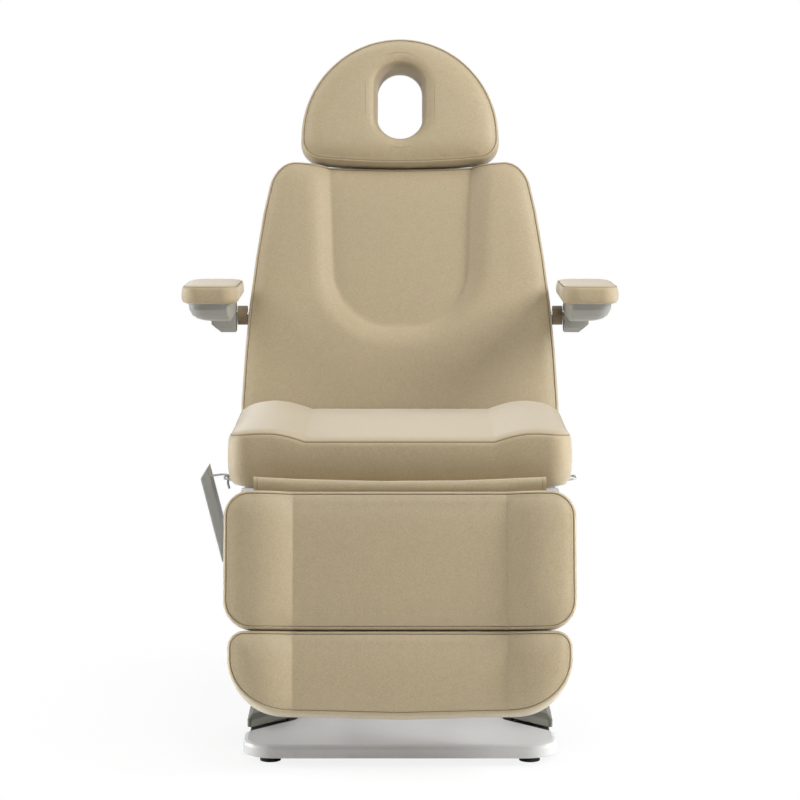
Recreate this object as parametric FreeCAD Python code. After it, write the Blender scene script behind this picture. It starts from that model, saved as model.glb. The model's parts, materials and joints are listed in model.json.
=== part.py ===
"""Four-section powered treatment chair, in millimetres.

The chair faces -Y, +Z is up and the floor is Z = 0. The pads are drawn flat, in a frame
whose origin is the hinge that carries them (x across, y towards the head, z out of the pad),
and are then turned to the seated position.
"""
import FreeCAD, Part
import math
import os

V = FreeCAD.Vector
ORIGIN = V(0, 0, 0)
ACROSS = V(1, 0, 0)
ALONG = V(0, 1, 0)
UP = V(0, 0, 1)

# Stance of the chair
SEAT_HEIGHT = 600.0
SEAT_FRONT_Y = -335.0
SEAT_TOP_BACK_Y = 123.0
BACK_REST_ANGLE = 70.0
LEG_REST_ANGLE = 76.0
HINGE_DROP = 113.0

# Clearances
PIN_FIT = 0.05
SLIDE_FIT = 0.3
SOFT_FIT = 0.3

# How far a cutting tool stands past the piece, and the least corner radius
OVERCUT = 1.0
LEAST_CORNER = 2.0

# Base
BASE_WIDTH = 573.0
BASE_LENGTH = 930.0
BASE_FRONT_Y = -404.0
BASE_CORNER = 60.0
BASE_WAIST = 390.0
BASE_TOE = 115.0
BASE_TAPER = 100.0
BASE_TOE_ROUND = 22.0
BASE_NECK_ROUND = 40.0
COVER_RISE = 14.5
COVER_HEIGHT = 23.5
COVER_WALL = 4.0
COVER_EDGE = 8.0
COVER_EDGE_SHARE = 0.3
PLATE_THICKNESS = 8.0
FOOT_RADIUS = 19.0
FOOT_INSET = 50.0
FOOT_END_INSET = 48.0

# Lifting column
COLUMN_WIDTH = 240.0
COLUMN_DEPTH = 180.0
COLUMN_Y = 0.0
COLUMN_CORNER = 14.0
SLEEVE_WALL = 5.0
SLEEVE_GAP = 4.0
SLEEVE_STEP = 6.0
GLIDE_HEIGHT = 6.0
FLANGE_MARGIN = 28.0
FLANGE_THICKNESS = 8.0
BOLT_RADIUS = 5.0
BOLT_HEAD_RADIUS = 9.0
BOLT_HEAD_HEIGHT = 6.0
HEAD_PLATE_THICKNESS = 14.0
HEAD_PLATE_WIDTH = 220.0
HEAD_PLATE_OVERHANG = 150.0
LIFT_TUBE_RADIUS = 30.0
LIFT_ROD_RADIUS = 18.0
LIFT_GEARBOX_HEIGHT = 70.0
LIFT_GEARBOX_WIDTH = 100.0
LIFT_GEARBOX_DEPTH = 80.0

# Tilt pivot between the column head and the seat frame
TILT_HEADROOM = 67.0
TILT_Y = -100.0
TILT_LUG_RADIUS = 22.0
TILT_PIN_RADIUS = 10.0
TILT_LUG_THICKNESS = 14.0
TILT_LUG_INSIDE = 60.0
TILT_FLOOR_GAP = 11.0
TILT_PUSH_REACH = 105.0
TILT_BODY_LENGTH = 180.0
TILT_BODY_RADIUS = 25.0
TILT_ROD_RADIUS = 10.0
TILT_MOTOR_RADIUS = 20.0

# Seat frame
RAIL_SETBACK = 26.5
RAIL_WIDTH = 25.0
RAIL_HEIGHT = 40.0
CROSSBAR_HEIGHT = 52.0
CROSSBAR_WIDTH = 40.0
CROSSBAR_WALL = 3.0
REAR_CROSSBAR_Y = 40.0
RISER_HALF = 18.0
HINGE_PIN_RADIUS = 6.0
HINGE_SHAFT_RADIUS = 11.0
HINGE_CAP = 12.0
FRONT_RISER_CAP = 9.5

# Section frames
ARM_BAR_GAP = 27.0
ARM_BAR_THICKNESS = 8.0
ARM_BAR_STEP = 8.0
GUIDE_SHARE = 0.64
FRAME_DROP = 18.0
CROSS_DEPTH = 14.0
CROSS_WIDTH = 30.0
SLIDE_ROD_RADIUS = 8.0
GUIDE_WALL = 4.0
CRANK_PLATE = 8.0
CRANK_EYE = 14.0
PIN_EYE = 11.2
CRANK_PIN_RADIUS = 6.0
YOKE_WIDTH = 30.0
YOKE_GAP = 4.0
YOKE_SLACK = 2.0

# Actuators under the seat
ACTUATOR_X = 170.0
ACTUATOR_RADIUS = 20.0
ACTUATOR_ROD_RADIUS = 9.0
MOTOR_LENGTH = 90.0
MOTOR_REACH = 54.0
MOTOR_RADIUS = 18.0
LEG_CRANK_LENGTH = 80.0
BACK_CRANK_LENGTH = 90.0

# Pads
BOARD_THICKNESS = 12.0
SEAT_BOARD_INSET = 34.0
SEAT_BOARD_CORNER = 60.0
SEAT_CORNER = 34.0
LEG_BOARD_INSET = 38.0
BACK_BOARD_INSET = 66.0
HEAD_BOARD_INSET = 30.0
SEAT_WIDTH = 627.0
SEAT_THICKNESS = 103.0
SEAT_REAR_SLOPE = 24.0
SEAT_RECESS_HALF = 165.0
SEAT_RECESS_DEPTH = 16.0
SEAT_RECESS_SLOPE = 55.0
LEG_OVERHANG = 1.0
LEG_LENGTH = 250.0
LEG_PAD_THICKNESS = 88.0
LEG_END_GAP = 3.0
LEG_PIVOT_AHEAD = 1.0
LEG_CORNER = 52.0
FOOT_GAP = 1.5
FOOT_SETBACK = 7.0
FOOT_LENGTH = 152.0
FOOT_CORNER_LOW = 104.0
FOOT_CORNER_HIGH = 30.0
LEG_RECESS_HALF = 190.0
LEG_RECESS_DEPTH = 15.0
LEG_RECESS_SLOPE = 14.0
BACK_PAD_THICKNESS = 90.0
BACK_LOW_END = 40.0
BACK_HIGH_END = 579.0
BACK_TOP_DIP = 11.0
BACK_TOP_BOW = 2500.0
BACK_JUNCTION = 79.0
BACK_OVERHANG = 1.0
BACK_SETBACK_MID = 13.0
BACK_SETBACK_HIGH = 39.0
BACK_SETBACK_TOP = 61.5
BACK_SIDE_ROUND = 500.0
BACK_SHOULDER_ROUND = 200.0
BACK_MID = 205.0
BACK_HIGH = 390.0
BACK_TOP_CORNER = 46.0
BACK_LOW_CORNER = 30.0
BACK_RECESS_HALF = 128.0
BACK_RECESS_LOW = 290.0
BACK_RECESS_DEPTH = 22.0
BACK_RECESS_SLOPE = 34.0
BACK_RECESS_CORNER = 95.0
HEAD_GAP = 4.5
HEAD_HALF_WIDTH = 200.0
HEAD_RISE = 210.0
HEAD_SHOULDER = 58.0
HEAD_CORNER = 42.0
HEAD_CORNER_LEAST = 4.0
HEAD_BOW = 8.0
HEAD_PAD_THICKNESS = 75.0
HOLE_HALF_WIDTH = 45.0
HOLE_HALF_LENGTH = 76.0
HOLE_FLARE = 14.0
HOLE_CENTRE = 132.5
HOLE_EASE = 0.5
HEAD_ROD_X = 90.0
HEAD_ROD_LENGTH = 240.0

# Armrests
ARM_S = 264.0
ARM_H = 72.7
ARM_SHAFT_RADIUS = 10.0
ARM_COLLAR_RADIUS = 19.0
ARM_COLLAR_GAP = 1.0
ARM_COLLAR_LENGTH = 19.5
ARM_BRACKET_THICKNESS = 8.0
ARM_BRACKET_HALF = 24.0
ARM_BRACKET_CAP = 14.4
ARM_BRACKET_ROOM = 2.4
ARM_SIDE_GAP = 3.0
ARM_HUB_WIDTH = 48.0
ARM_HUB_CUT_WIDTH = 19.0
ARM_HUB_CUT_HEIGHT = 17.0
ARM_HUB_EDGE = 10.0
ARM_SHAFT_DEPTH = 28.0
ARM_HUB_DROP = 32.0
ARM_HUB_HALF = 30.0
ARM_SHELL_WIDTH = 80.0
ARM_SHELL_DROP = 37.0
ARM_SHELL_CORNER = 30.0
ARM_SHELL_INNER_CORNER = 6.0
ARM_PAD_WIDTH = 109.0
ARM_PAD_SETOUT = 5.0
ARM_PAD_LENGTH = 255.0
ARM_PAD_RISE = 45.0
ARM_PAD_THICKNESS = 33.0
ARM_PAD_CORNER = 38.0

# Foot pedals
PEDAL_GAP = 5.0
PEDAL_INSET = 3.5
PEDAL_WAIST_GAP = 8.0
PEDAL_BACK_Y = -95.0
PEDAL_PIVOT_Y = -175.0
PEDAL_PIVOT_Z = 36.0
PEDAL_THICKNESS = 22.0
PEDAL_BEVEL = 9.0
PEDAL_FRONT_CORNER = 5.0
PEDAL_BACK_CORNER = 8.0
PEDAL_UNDERSIDE = 40.0
PEDAL_PIN_RADIUS = 4.0
PEDAL_EAR = 6.0
HOUSING_FLOOR = 12.0
HOUSING_HEIGHT = 18.0
HOUSING_CORNER = 4.0

# Handset and its hook
HANDSET_LENGTH = 178.0
HANDSET_WIDTH = 60.0
HANDSET_THICKNESS = 19.0
HANDSET_LEAN = 14.0
HANDSET_INSET = 4.3
HANDSET_DROP = 151.0
HANDSET_BEVEL = 18.0
HANDSET_EDGE = 3.0
HOOK_ROOT_HEIGHT = 158.0
HOOK_TAIL = 26.0
HOOK_TAIL_GAP = 6.5
HOOK_TAIL_KICK = 1.5
KEY_WIDTH = 38.0
KEY_HEIGHT = 17.0
KEY_PITCH = 27.0
KEY_FIRST_HEIGHT = 46.0
KEY_PROUD = 0.6
KEY_DEPTH = 5.0
KEY_FIT = 0.5
KEY_STEM_RADIUS = 1.5
KEY_STEM_HALF = 4.5
KEY_COUNT = 4
WIRE_RADIUS = 2.0
LOOP_REACH = 38.0
LOOP_LEG_DROP = 4.0
LOOP_RISE = 6.0
LOOP_LEVEL = 8.0

# Control box
CONTROL_WIDTH = 190.0
CONTROL_DEPTH = 130.0
CONTROL_HEIGHT = 70.0
CONTROL_GAP = 160.0
CONTROL_CORNER = 8.0
INLET_WIDTH = 30.0
INLET_HEIGHT = 24.0
INLET_DEPTH = 14.0
INLET_WALL = 2.8

# Gap flap between seat and leg rest
FLAP_SETBACK = 49.5
FLAP_THICKNESS = 3.0
FLAP_HEIGHT = 30.0

# Rounding of a cushion's wall: share of the thickness, and how far the wall stands in there
WALL_ROUNDING = ((0.0, 20.0), (0.08, 9.0), (0.26, 1.5), (0.5, 0.0), (0.74, 1.0),
                 (0.88, 5.0), (0.96, 12.0), (1.0, 26.0))

# Rounding of an arm pad's wall, in the same way
ARM_PAD_ROUNDING = ((0.0, 6.0), (0.12, 1.5), (0.4, 0.0), (0.7, 0.5), (0.86, 3.0), (0.95, 8.0), (1.0, 20.0))

# Underside of an arm shell: share of its drop, and how far the outer side and the ends stand in there
ARM_SHELL_ROUNDING = ((1.0, 42.0, 36.0), (0.95, 29.0, 26.0), (0.84, 17.0, 16.0), (0.66, 8.0, 8.0),
                      (0.35, 2.0, 2.0), (0.0, 0.0, 0.0))

# Values worked out from the sizes above
RAIL_OUTSIDE = SEAT_WIDTH / 2 - RAIL_SETBACK
ARM_BAR_INSIDE = RAIL_OUTSIDE - RAIL_WIDTH - ARM_BAR_GAP
LEG_WIDTH = SEAT_WIDTH + 2 * LEG_OVERHANG
FOOT_WIDTH = SEAT_WIDTH - 2 * FOOT_SETBACK
FLAP_WIDTH = SEAT_WIDTH - 2 * FLAP_SETBACK
BACK_HALF_LOW = SEAT_WIDTH / 2 + BACK_OVERHANG
BACK_HALF_MID = SEAT_WIDTH / 2 - BACK_SETBACK_MID
BACK_HALF_HIGH = SEAT_WIDTH / 2 - BACK_SETBACK_HIGH
BACK_HALF_TOP = SEAT_WIDTH / 2 - BACK_SETBACK_TOP
COLLAR_LOW_S = ARM_S - ARM_COLLAR_RADIUS
BACK_HALF_AT_ARM = BACK_HALF_LOW + (BACK_HALF_MID - BACK_HALF_LOW) * (COLLAR_LOW_S - BACK_JUNCTION) / BACK_MID
ARM_COLLAR_START = BACK_HALF_AT_ARM + ARM_COLLAR_GAP
ARM_PAD_INSIDE = ARM_COLLAR_START + ARM_PAD_SETOUT
HINGE_Z = SEAT_HEIGHT - HINGE_DROP
SEAT_UNDERSIDE = SEAT_HEIGHT - SEAT_THICKNESS
LEG_PIVOT = V(0, SEAT_FRONT_Y - LEG_PIVOT_AHEAD, HINGE_Z)
BACK_PIVOT_Y = (SEAT_TOP_BACK_Y + LEG_END_GAP
                - BACK_JUNCTION * math.cos(math.radians(BACK_REST_ANGLE))
                + HINGE_DROP * math.sin(math.radians(BACK_REST_ANGLE)))
BACK_PIVOT = V(0, BACK_PIVOT_Y, HINGE_Z)
PAD_TOP = HINGE_DROP
LEG_UNDERSIDE = PAD_TOP - LEG_PAD_THICKNESS
BACK_UNDERSIDE = PAD_TOP - BACK_PAD_THICKNESS
HEAD_UNDERSIDE = PAD_TOP - HEAD_PAD_THICKNESS
CROSSBAR_FLOOR = SEAT_UNDERSIDE - CROSSBAR_HEIGHT
RAIL_FLOOR = CROSSBAR_FLOOR - RAIL_HEIGHT
COVER_TOP = COVER_RISE + COVER_HEIGHT
PLATE_TOP = COVER_TOP - COVER_WALL
FLANGE_TOP = PLATE_TOP + FLANGE_THICKNESS
HEAD_TOP = CROSSBAR_FLOOR - TILT_HEADROOM
INNER_TOP = HEAD_TOP - HEAD_PLATE_THICKNESS
MIDDLE_TOP = INNER_TOP - GLIDE_HEIGHT - 2 * SLEEVE_STEP
OUTER_TOP = MIDDLE_TOP - GLIDE_HEIGHT - SLEEVE_STEP
TILT_Z = HEAD_TOP + TILT_FLOOR_GAP + TILT_LUG_RADIUS
TILT_PUSH_Y = TILT_Y - TILT_PUSH_REACH
FRONT_CROSSBAR_Y = TILT_PUSH_Y
HOOK_Y = FRONT_CROSSBAR_Y
HANDSET_X = -(RAIL_OUTSIDE + LOOP_REACH - HANDSET_INSET)
HANDSET_Z = SEAT_UNDERSIDE - HANDSET_DROP
LOOP_HALF = (CROSSBAR_WIDTH - CROSSBAR_WALL) / 2
HEAD_LOW = BACK_HIGH_END - BACK_TOP_DIP + HEAD_GAP


def block(x0, x1, y0, y1, z0, z1):
    """Box between two corners."""
    return Part.makeBox(x1 - x0, y1 - y0, z1 - z0, V(x0, y0, z0))


def bar(start, end, radius):
    """Round bar between two points."""
    axis = end - start
    return Part.makeCylinder(radius, axis.Length, start, axis)


def pair(shape):
    """The piece and its mirror image on the other side of the chair."""
    return Part.makeCompound([shape, mirrored(shape)])


def mirrored(shape):
    """Mirror image across the chair's middle plane."""
    return shape.mirror(ORIGIN, ACROSS)


def seated(shape, angle, pivot):
    """A piece drawn flat about its hinge, turned to the seated position."""
    turned = shape.copy()
    turned.rotate(ORIGIN, ACROSS, angle)
    turned.translate(pivot)
    return turned


def seated_point(point, angle, pivot):
    """A point drawn flat about its hinge, in the seated position."""
    return FreeCAD.Rotation(ACROSS, angle).multVec(point) + pivot


def inset_corners(corners, inset):
    """Corners (x, y, radius) of an outline drawn counter-clockwise, moved inwards by a distance."""
    count = len(corners)
    moved = []
    for i in range(count):
        before = V(corners[i - 1][0], corners[i - 1][1], 0)
        here = V(corners[i][0], corners[i][1], 0)
        after = V(corners[(i + 1) % count][0], corners[(i + 1) % count][1], 0)
        arriving = (here - before).normalize()
        leaving = (after - here).normalize()
        inward_a = V(-arriving.y, arriving.x, 0)
        inward_b = V(-leaving.y, leaving.x, 0)
        bisector = inward_a + inward_b
        shift = bisector * (inset / (1 + inward_a.dot(inward_b)))
        turn = arriving.x * leaving.y - arriving.y * leaving.x
        radius = corners[i][2] - inset if turn > 0 else corners[i][2] + inset
        moved.append((here.x + shift.x, here.y + shift.y, max(radius, LEAST_CORNER)))
    return moved


def outline(corners, level):
    """Closed wire of lines and tangent arcs through rounded corners, at a height."""
    count = len(corners)
    arcs = []
    for i in range(count):
        before = V(corners[i - 1][0], corners[i - 1][1], level)
        here = V(corners[i][0], corners[i][1], level)
        after = V(corners[(i + 1) % count][0], corners[(i + 1) % count][1], level)
        arriving = (before - here).normalize()
        leaving = (after - here).normalize()
        half = arriving.getAngle(leaving) / 2
        radius = corners[i][2]
        reach = radius / math.tan(half)
        centre = here + (arriving + leaving).normalize() * (radius / math.sin(half))
        middle = centre + (here - centre).normalize() * radius
        arcs.append((here + arriving * reach, middle, here + leaving * reach))
    edges = []
    for i in range(count):
        edges.append(Part.Arc(*arcs[i]).toShape())
        edges.append(Part.LineSegment(arcs[i][2], arcs[(i + 1) % count][0]).toShape())
    return Part.Wire(edges)


def prism(corners, bottom, top):
    """Upright solid with a rounded outline."""
    face = Part.Face(outline(corners, bottom))
    return face.extrude(V(0, 0, top - bottom))


def rectangle(x0, x1, y0, y1, radius):
    """Corners of a rounded rectangle, counter-clockwise."""
    return [(x0, y0, radius), (x1, y0, radius), (x1, y1, radius), (x0, y1, radius)]


def loft(wires):
    """Closed solid with straight walls from each outline to the next."""
    return Part.makeLoft(wires, True, True)


def side_plate(points, x0, x1):
    """Plate cut to a profile of (y, z) points, standing between two x values."""
    wire = Part.makePolygon([V(x0, y, z) for y, z in points + points[:1]])
    return Part.Face(wire).extrude(V(x1 - x0, 0, 0))


def eye(y, z, radius, x0, x1):
    """Round disc about an axis across the chair."""
    return bar(V(x0, y, z), V(x1, y, z), radius)


def padded_form(corners, bottom, top):
    """Cushion with a drawn-in wall, a rounded edge and a crown."""
    thickness = top - bottom
    wires = []
    for share, inset in WALL_ROUNDING:
        wires.append(outline(inset_corners(corners, inset), bottom + share * thickness))
    return loft(wires)


def centre_channel(half, slope, depth, y0, y1, top):
    """Tool for the sunk middle between two side bolsters."""
    floor = top - depth
    lip = top + depth
    low = rectangle(-half, half, y0, y1, LEAST_CORNER)
    wide = half + 2 * slope
    high = rectangle(-wide, wide, y0, y1, LEAST_CORNER)
    return loft([outline(low, floor), outline(high, lip)])


def base_corners():
    """Plan of the base: wide toes front and back, with a waist for the pedals."""
    wide = BASE_WIDTH / 2
    waist = BASE_WAIST / 2
    front = BASE_FRONT_Y
    back = BASE_FRONT_Y + BASE_LENGTH
    neck = BASE_TOE + BASE_TAPER
    right = [(wide, front, BASE_CORNER), (wide, front + BASE_TOE, BASE_TOE_ROUND),
             (waist, front + neck, BASE_NECK_ROUND), (waist, back - neck, BASE_NECK_ROUND),
             (wide, back - BASE_TOE, BASE_TOE_ROUND), (wide, back, BASE_CORNER)]
    left = [(-x, y, radius) for x, y, radius in reversed(right)]
    return right + left


def foot_places():
    """Centres of the four feet."""
    x = BASE_WIDTH / 2 - FOOT_INSET
    y0 = BASE_FRONT_Y + FOOT_END_INSET
    y1 = BASE_FRONT_Y + BASE_LENGTH - FOOT_END_INSET
    return [(-x, y0), (x, y0), (-x, y1), (x, y1)]


def sleeve_corners(step):
    """Plan of one column sleeve: step 0 is the outer face of the outer sleeve."""
    half_x = COLUMN_WIDTH / 2 - step
    half_y = COLUMN_DEPTH / 2 - step
    radius = max(COLUMN_CORNER - step, LEAST_CORNER)
    return rectangle(-half_x, half_x, COLUMN_Y - half_y, COLUMN_Y + half_y, radius)


def sleeve(number, bottom, top):
    """One of the three nested sleeves of the lifting column."""
    step = number * (SLEEVE_WALL + SLEEVE_GAP)
    outside = prism(sleeve_corners(step), bottom, top)
    return outside.cut(prism(sleeve_corners(step + SLEEVE_WALL), bottom - OVERCUT, top + OVERCUT))


def glide_ring(number, bottom):
    """Plastic ring on top of a sleeve that guides the next one."""
    step = number * (SLEEVE_WALL + SLEEVE_GAP)
    bore = step + SLEEVE_WALL + SLEEVE_GAP - SLIDE_FIT
    ring = prism(sleeve_corners(step), bottom, bottom + GLIDE_HEIGHT)
    return ring.cut(prism(sleeve_corners(bore), bottom - OVERCUT, bottom + GLIDE_HEIGHT + OVERCUT))


def bolt_places():
    """Centres of the bolts through the column's flange."""
    x = COLUMN_WIDTH / 2 + FLANGE_MARGIN / 2
    y = COLUMN_DEPTH / 2 + FLANGE_MARGIN / 2
    return [(sx * x, COLUMN_Y + sy * y) for sx in (-1, 0, 1) for sy in (-1, 1)]


def flange_corners(margin):
    """Plan of the column's flange."""
    half_x = COLUMN_WIDTH / 2 + margin
    half_y = COLUMN_DEPTH / 2 + margin
    return rectangle(-half_x, half_x, COLUMN_Y - half_y, COLUMN_Y + half_y, COLUMN_CORNER)


def make_base(parts):
    """Cover, plate, feet, control box and the fixed part of the column."""
    corners = base_corners()
    eased = COVER_EDGE * COVER_EDGE_SHARE
    shell = loft([outline(corners, COVER_RISE),
                  outline(corners, COVER_TOP - COVER_EDGE),
                  outline(inset_corners(corners, eased), COVER_TOP - eased),
                  outline(inset_corners(corners, COVER_EDGE), COVER_TOP)])
    hollow = prism(inset_corners(corners, COVER_WALL + COVER_EDGE / 4), COVER_RISE - OVERCUT, PLATE_TOP)
    opening = prism(flange_corners(FLANGE_MARGIN + SLIDE_FIT), PLATE_TOP - OVERCUT, COVER_TOP + OVERCUT)
    parts["base_cover"] = shell.cut(hollow).cut(opening)

    plate_inset = COVER_WALL + COVER_EDGE / 4 + SLIDE_FIT
    plate = prism(inset_corners(corners, plate_inset), PLATE_TOP - PLATE_THICKNESS, PLATE_TOP)
    flange = prism(flange_corners(FLANGE_MARGIN), PLATE_TOP, FLANGE_TOP)
    bolts = []
    for x, y in bolt_places():
        hole = bar(V(x, y, 0), V(x, y, FLANGE_TOP), BOLT_RADIUS + PIN_FIT)
        plate = plate.cut(hole)
        flange = flange.cut(hole)
        shank = bar(V(x, y, PLATE_TOP - PLATE_THICKNESS), V(x, y, FLANGE_TOP), BOLT_RADIUS)
        ring = [V(x + BOLT_HEAD_RADIUS * math.cos(k * math.pi / 3),
                  y + BOLT_HEAD_RADIUS * math.sin(k * math.pi / 3), FLANGE_TOP) for k in range(7)]
        hexagon = Part.Face(Part.makePolygon(ring)).extrude(UP * BOLT_HEAD_HEIGHT)
        bolts.append(shank.fuse(hexagon).removeSplitter())
    parts["base_plate"] = plate
    parts["column_bolts"] = Part.makeCompound(bolts)
    parts["base_feet"] = Part.makeCompound(
        [bar(V(x, y, 0), V(x, y, PLATE_TOP - PLATE_THICKNESS), FOOT_RADIUS) for x, y in foot_places()])

    parts["column_outer"] = flange.fuse(sleeve(0, PLATE_TOP, OUTER_TOP)).removeSplitter().cut(
        prism(sleeve_corners(SLEEVE_WALL), PLATE_TOP - OVERCUT, OUTER_TOP))
    parts["outer_glide"] = glide_ring(0, OUTER_TOP)

    gearbox = block(-LIFT_GEARBOX_WIDTH / 2, LIFT_GEARBOX_WIDTH / 2, COLUMN_Y - LIFT_GEARBOX_DEPTH / 2,
                    COLUMN_Y + LIFT_GEARBOX_DEPTH / 2, PLATE_TOP, PLATE_TOP + LIFT_GEARBOX_HEIGHT)
    tube = bar(V(0, COLUMN_Y, PLATE_TOP), V(0, COLUMN_Y, INNER_TOP - SLEEVE_STEP), LIFT_TUBE_RADIUS)
    bore = bar(V(0, COLUMN_Y, PLATE_TOP + SLEEVE_STEP), V(0, COLUMN_Y, INNER_TOP),
               LIFT_ROD_RADIUS + SLIDE_FIT)
    parts["lift_actuator"] = gearbox.fuse(tube).cut(bore).removeSplitter()

    box_y = COLUMN_Y + CONTROL_GAP
    box_back = box_y + CONTROL_DEPTH
    box_plan = rectangle(-CONTROL_WIDTH / 2, CONTROL_WIDTH / 2, box_y, box_back, CONTROL_CORNER)
    parts["control_box"] = prism(box_plan, COVER_TOP, COVER_TOP + CONTROL_HEIGHT)
    middle = COVER_TOP + CONTROL_HEIGHT / 2
    inlet = block(-INLET_WIDTH / 2, INLET_WIDTH / 2, box_back, box_back + INLET_DEPTH,
                  middle - INLET_HEIGHT / 2, middle + INLET_HEIGHT / 2)
    wall = INLET_WALL
    socket = block(-INLET_WIDTH / 2 + wall, INLET_WIDTH / 2 - wall, box_back + wall,
                   box_back + INLET_DEPTH + OVERCUT, middle - INLET_HEIGHT / 2 + wall,
                   middle + INLET_HEIGHT / 2 - wall)
    parts["mains_inlet"] = inlet.cut(socket)


def make_column(parts):
    """Sliding sleeves, the head plate and the tilt actuator."""
    bottom = FLANGE_TOP + SLEEVE_STEP
    parts["column_middle"] = sleeve(1, bottom, MIDDLE_TOP)
    parts["middle_glide"] = glide_ring(1, MIDDLE_TOP)
    parts["column_inner"] = sleeve(2, bottom + SLEEVE_STEP, INNER_TOP)
    parts["lift_rod"] = bar(V(0, COLUMN_Y, PLATE_TOP + 2 * SLEEVE_STEP), V(0, COLUMN_Y, INNER_TOP),
                            LIFT_ROD_RADIUS)

    half = HEAD_PLATE_WIDTH / 2
    front = COLUMN_Y - COLUMN_DEPTH / 2 - HEAD_PLATE_OVERHANG
    plate = block(-half, half, front, COLUMN_Y + COLUMN_DEPTH / 2, INNER_TOP, HEAD_TOP)
    lug_x0 = TILT_LUG_INSIDE + TILT_LUG_THICKNESS + SLIDE_FIT
    lug_x1 = lug_x0 + TILT_LUG_THICKNESS
    lug = block(lug_x0, lug_x1, TILT_Y - TILT_LUG_RADIUS, TILT_Y + TILT_LUG_RADIUS, HEAD_TOP, TILT_Z)
    lug = lug.fuse(eye(TILT_Y, TILT_Z, TILT_LUG_RADIUS, lug_x0, lug_x1))
    lug = lug.cut(eye(TILT_Y, TILT_Z, TILT_PIN_RADIUS + PIN_FIT, lug_x0 - OVERCUT, lug_x1 + OVERCUT))
    hole = bar(V(0, TILT_PUSH_Y, INNER_TOP - OVERCUT), V(0, TILT_PUSH_Y, HEAD_TOP + OVERCUT),
               TILT_ROD_RADIUS + SLIDE_FIT)
    parts["column_head"] = plate.fuse([lug, mirrored(lug)]).cut(hole).removeSplitter()

    low = INNER_TOP - TILT_BODY_LENGTH
    body = bar(V(0, TILT_PUSH_Y, low), V(0, TILT_PUSH_Y, INNER_TOP), TILT_BODY_RADIUS)
    motor = bar(V(0, TILT_PUSH_Y, low), V(0, TILT_PUSH_Y - MOTOR_LENGTH / 2, low), TILT_MOTOR_RADIUS)
    motor.translate(V(0, 0, TILT_BODY_RADIUS))
    bore = bar(V(0, TILT_PUSH_Y, low + TILT_BODY_RADIUS), V(0, TILT_PUSH_Y, INNER_TOP + OVERCUT),
               TILT_ROD_RADIUS + SLIDE_FIT)
    parts["tilt_actuator"] = body.fuse(motor).cut(bore).removeSplitter()

    yoke_half = CROSSBAR_WIDTH / 2
    yoke_floor = HEAD_TOP + SLEEVE_STEP
    rod = bar(V(0, TILT_PUSH_Y, low + 2 * TILT_BODY_RADIUS), V(0, TILT_PUSH_Y, yoke_floor + OVERCUT),
              TILT_ROD_RADIUS)
    yoke = block(-yoke_half, yoke_half, TILT_PUSH_Y - yoke_half + YOKE_GAP,
                 TILT_PUSH_Y + yoke_half - YOKE_GAP, yoke_floor, CROSSBAR_FLOOR - YOKE_GAP)
    slot = block(-TILT_LUG_THICKNESS / 2 - SLIDE_FIT, TILT_LUG_THICKNESS / 2 + SLIDE_FIT,
                 TILT_PUSH_Y - yoke_half, TILT_PUSH_Y + yoke_half,
                 tilt_push_z() - TILT_PIN_RADIUS - YOKE_SLACK, CROSSBAR_FLOOR)
    reach = CRANK_PIN_RADIUS + 2 * YOKE_SLACK
    play = CRANK_PIN_RADIUS + YOKE_SLACK / 3
    pin_slot = block(-yoke_half - OVERCUT, yoke_half + OVERCUT, TILT_PUSH_Y - reach, TILT_PUSH_Y + reach,
                     tilt_push_z() - play, tilt_push_z() + play)
    parts["tilt_rod"] = rod.fuse(yoke).cut(slot).cut(pin_slot).removeSplitter()


def tilt_push_z():
    """Height of the pin that the tilt actuator pushes."""
    return (HEAD_TOP + CROSSBAR_FLOOR) / 2 + SLEEVE_STEP / 2


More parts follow.
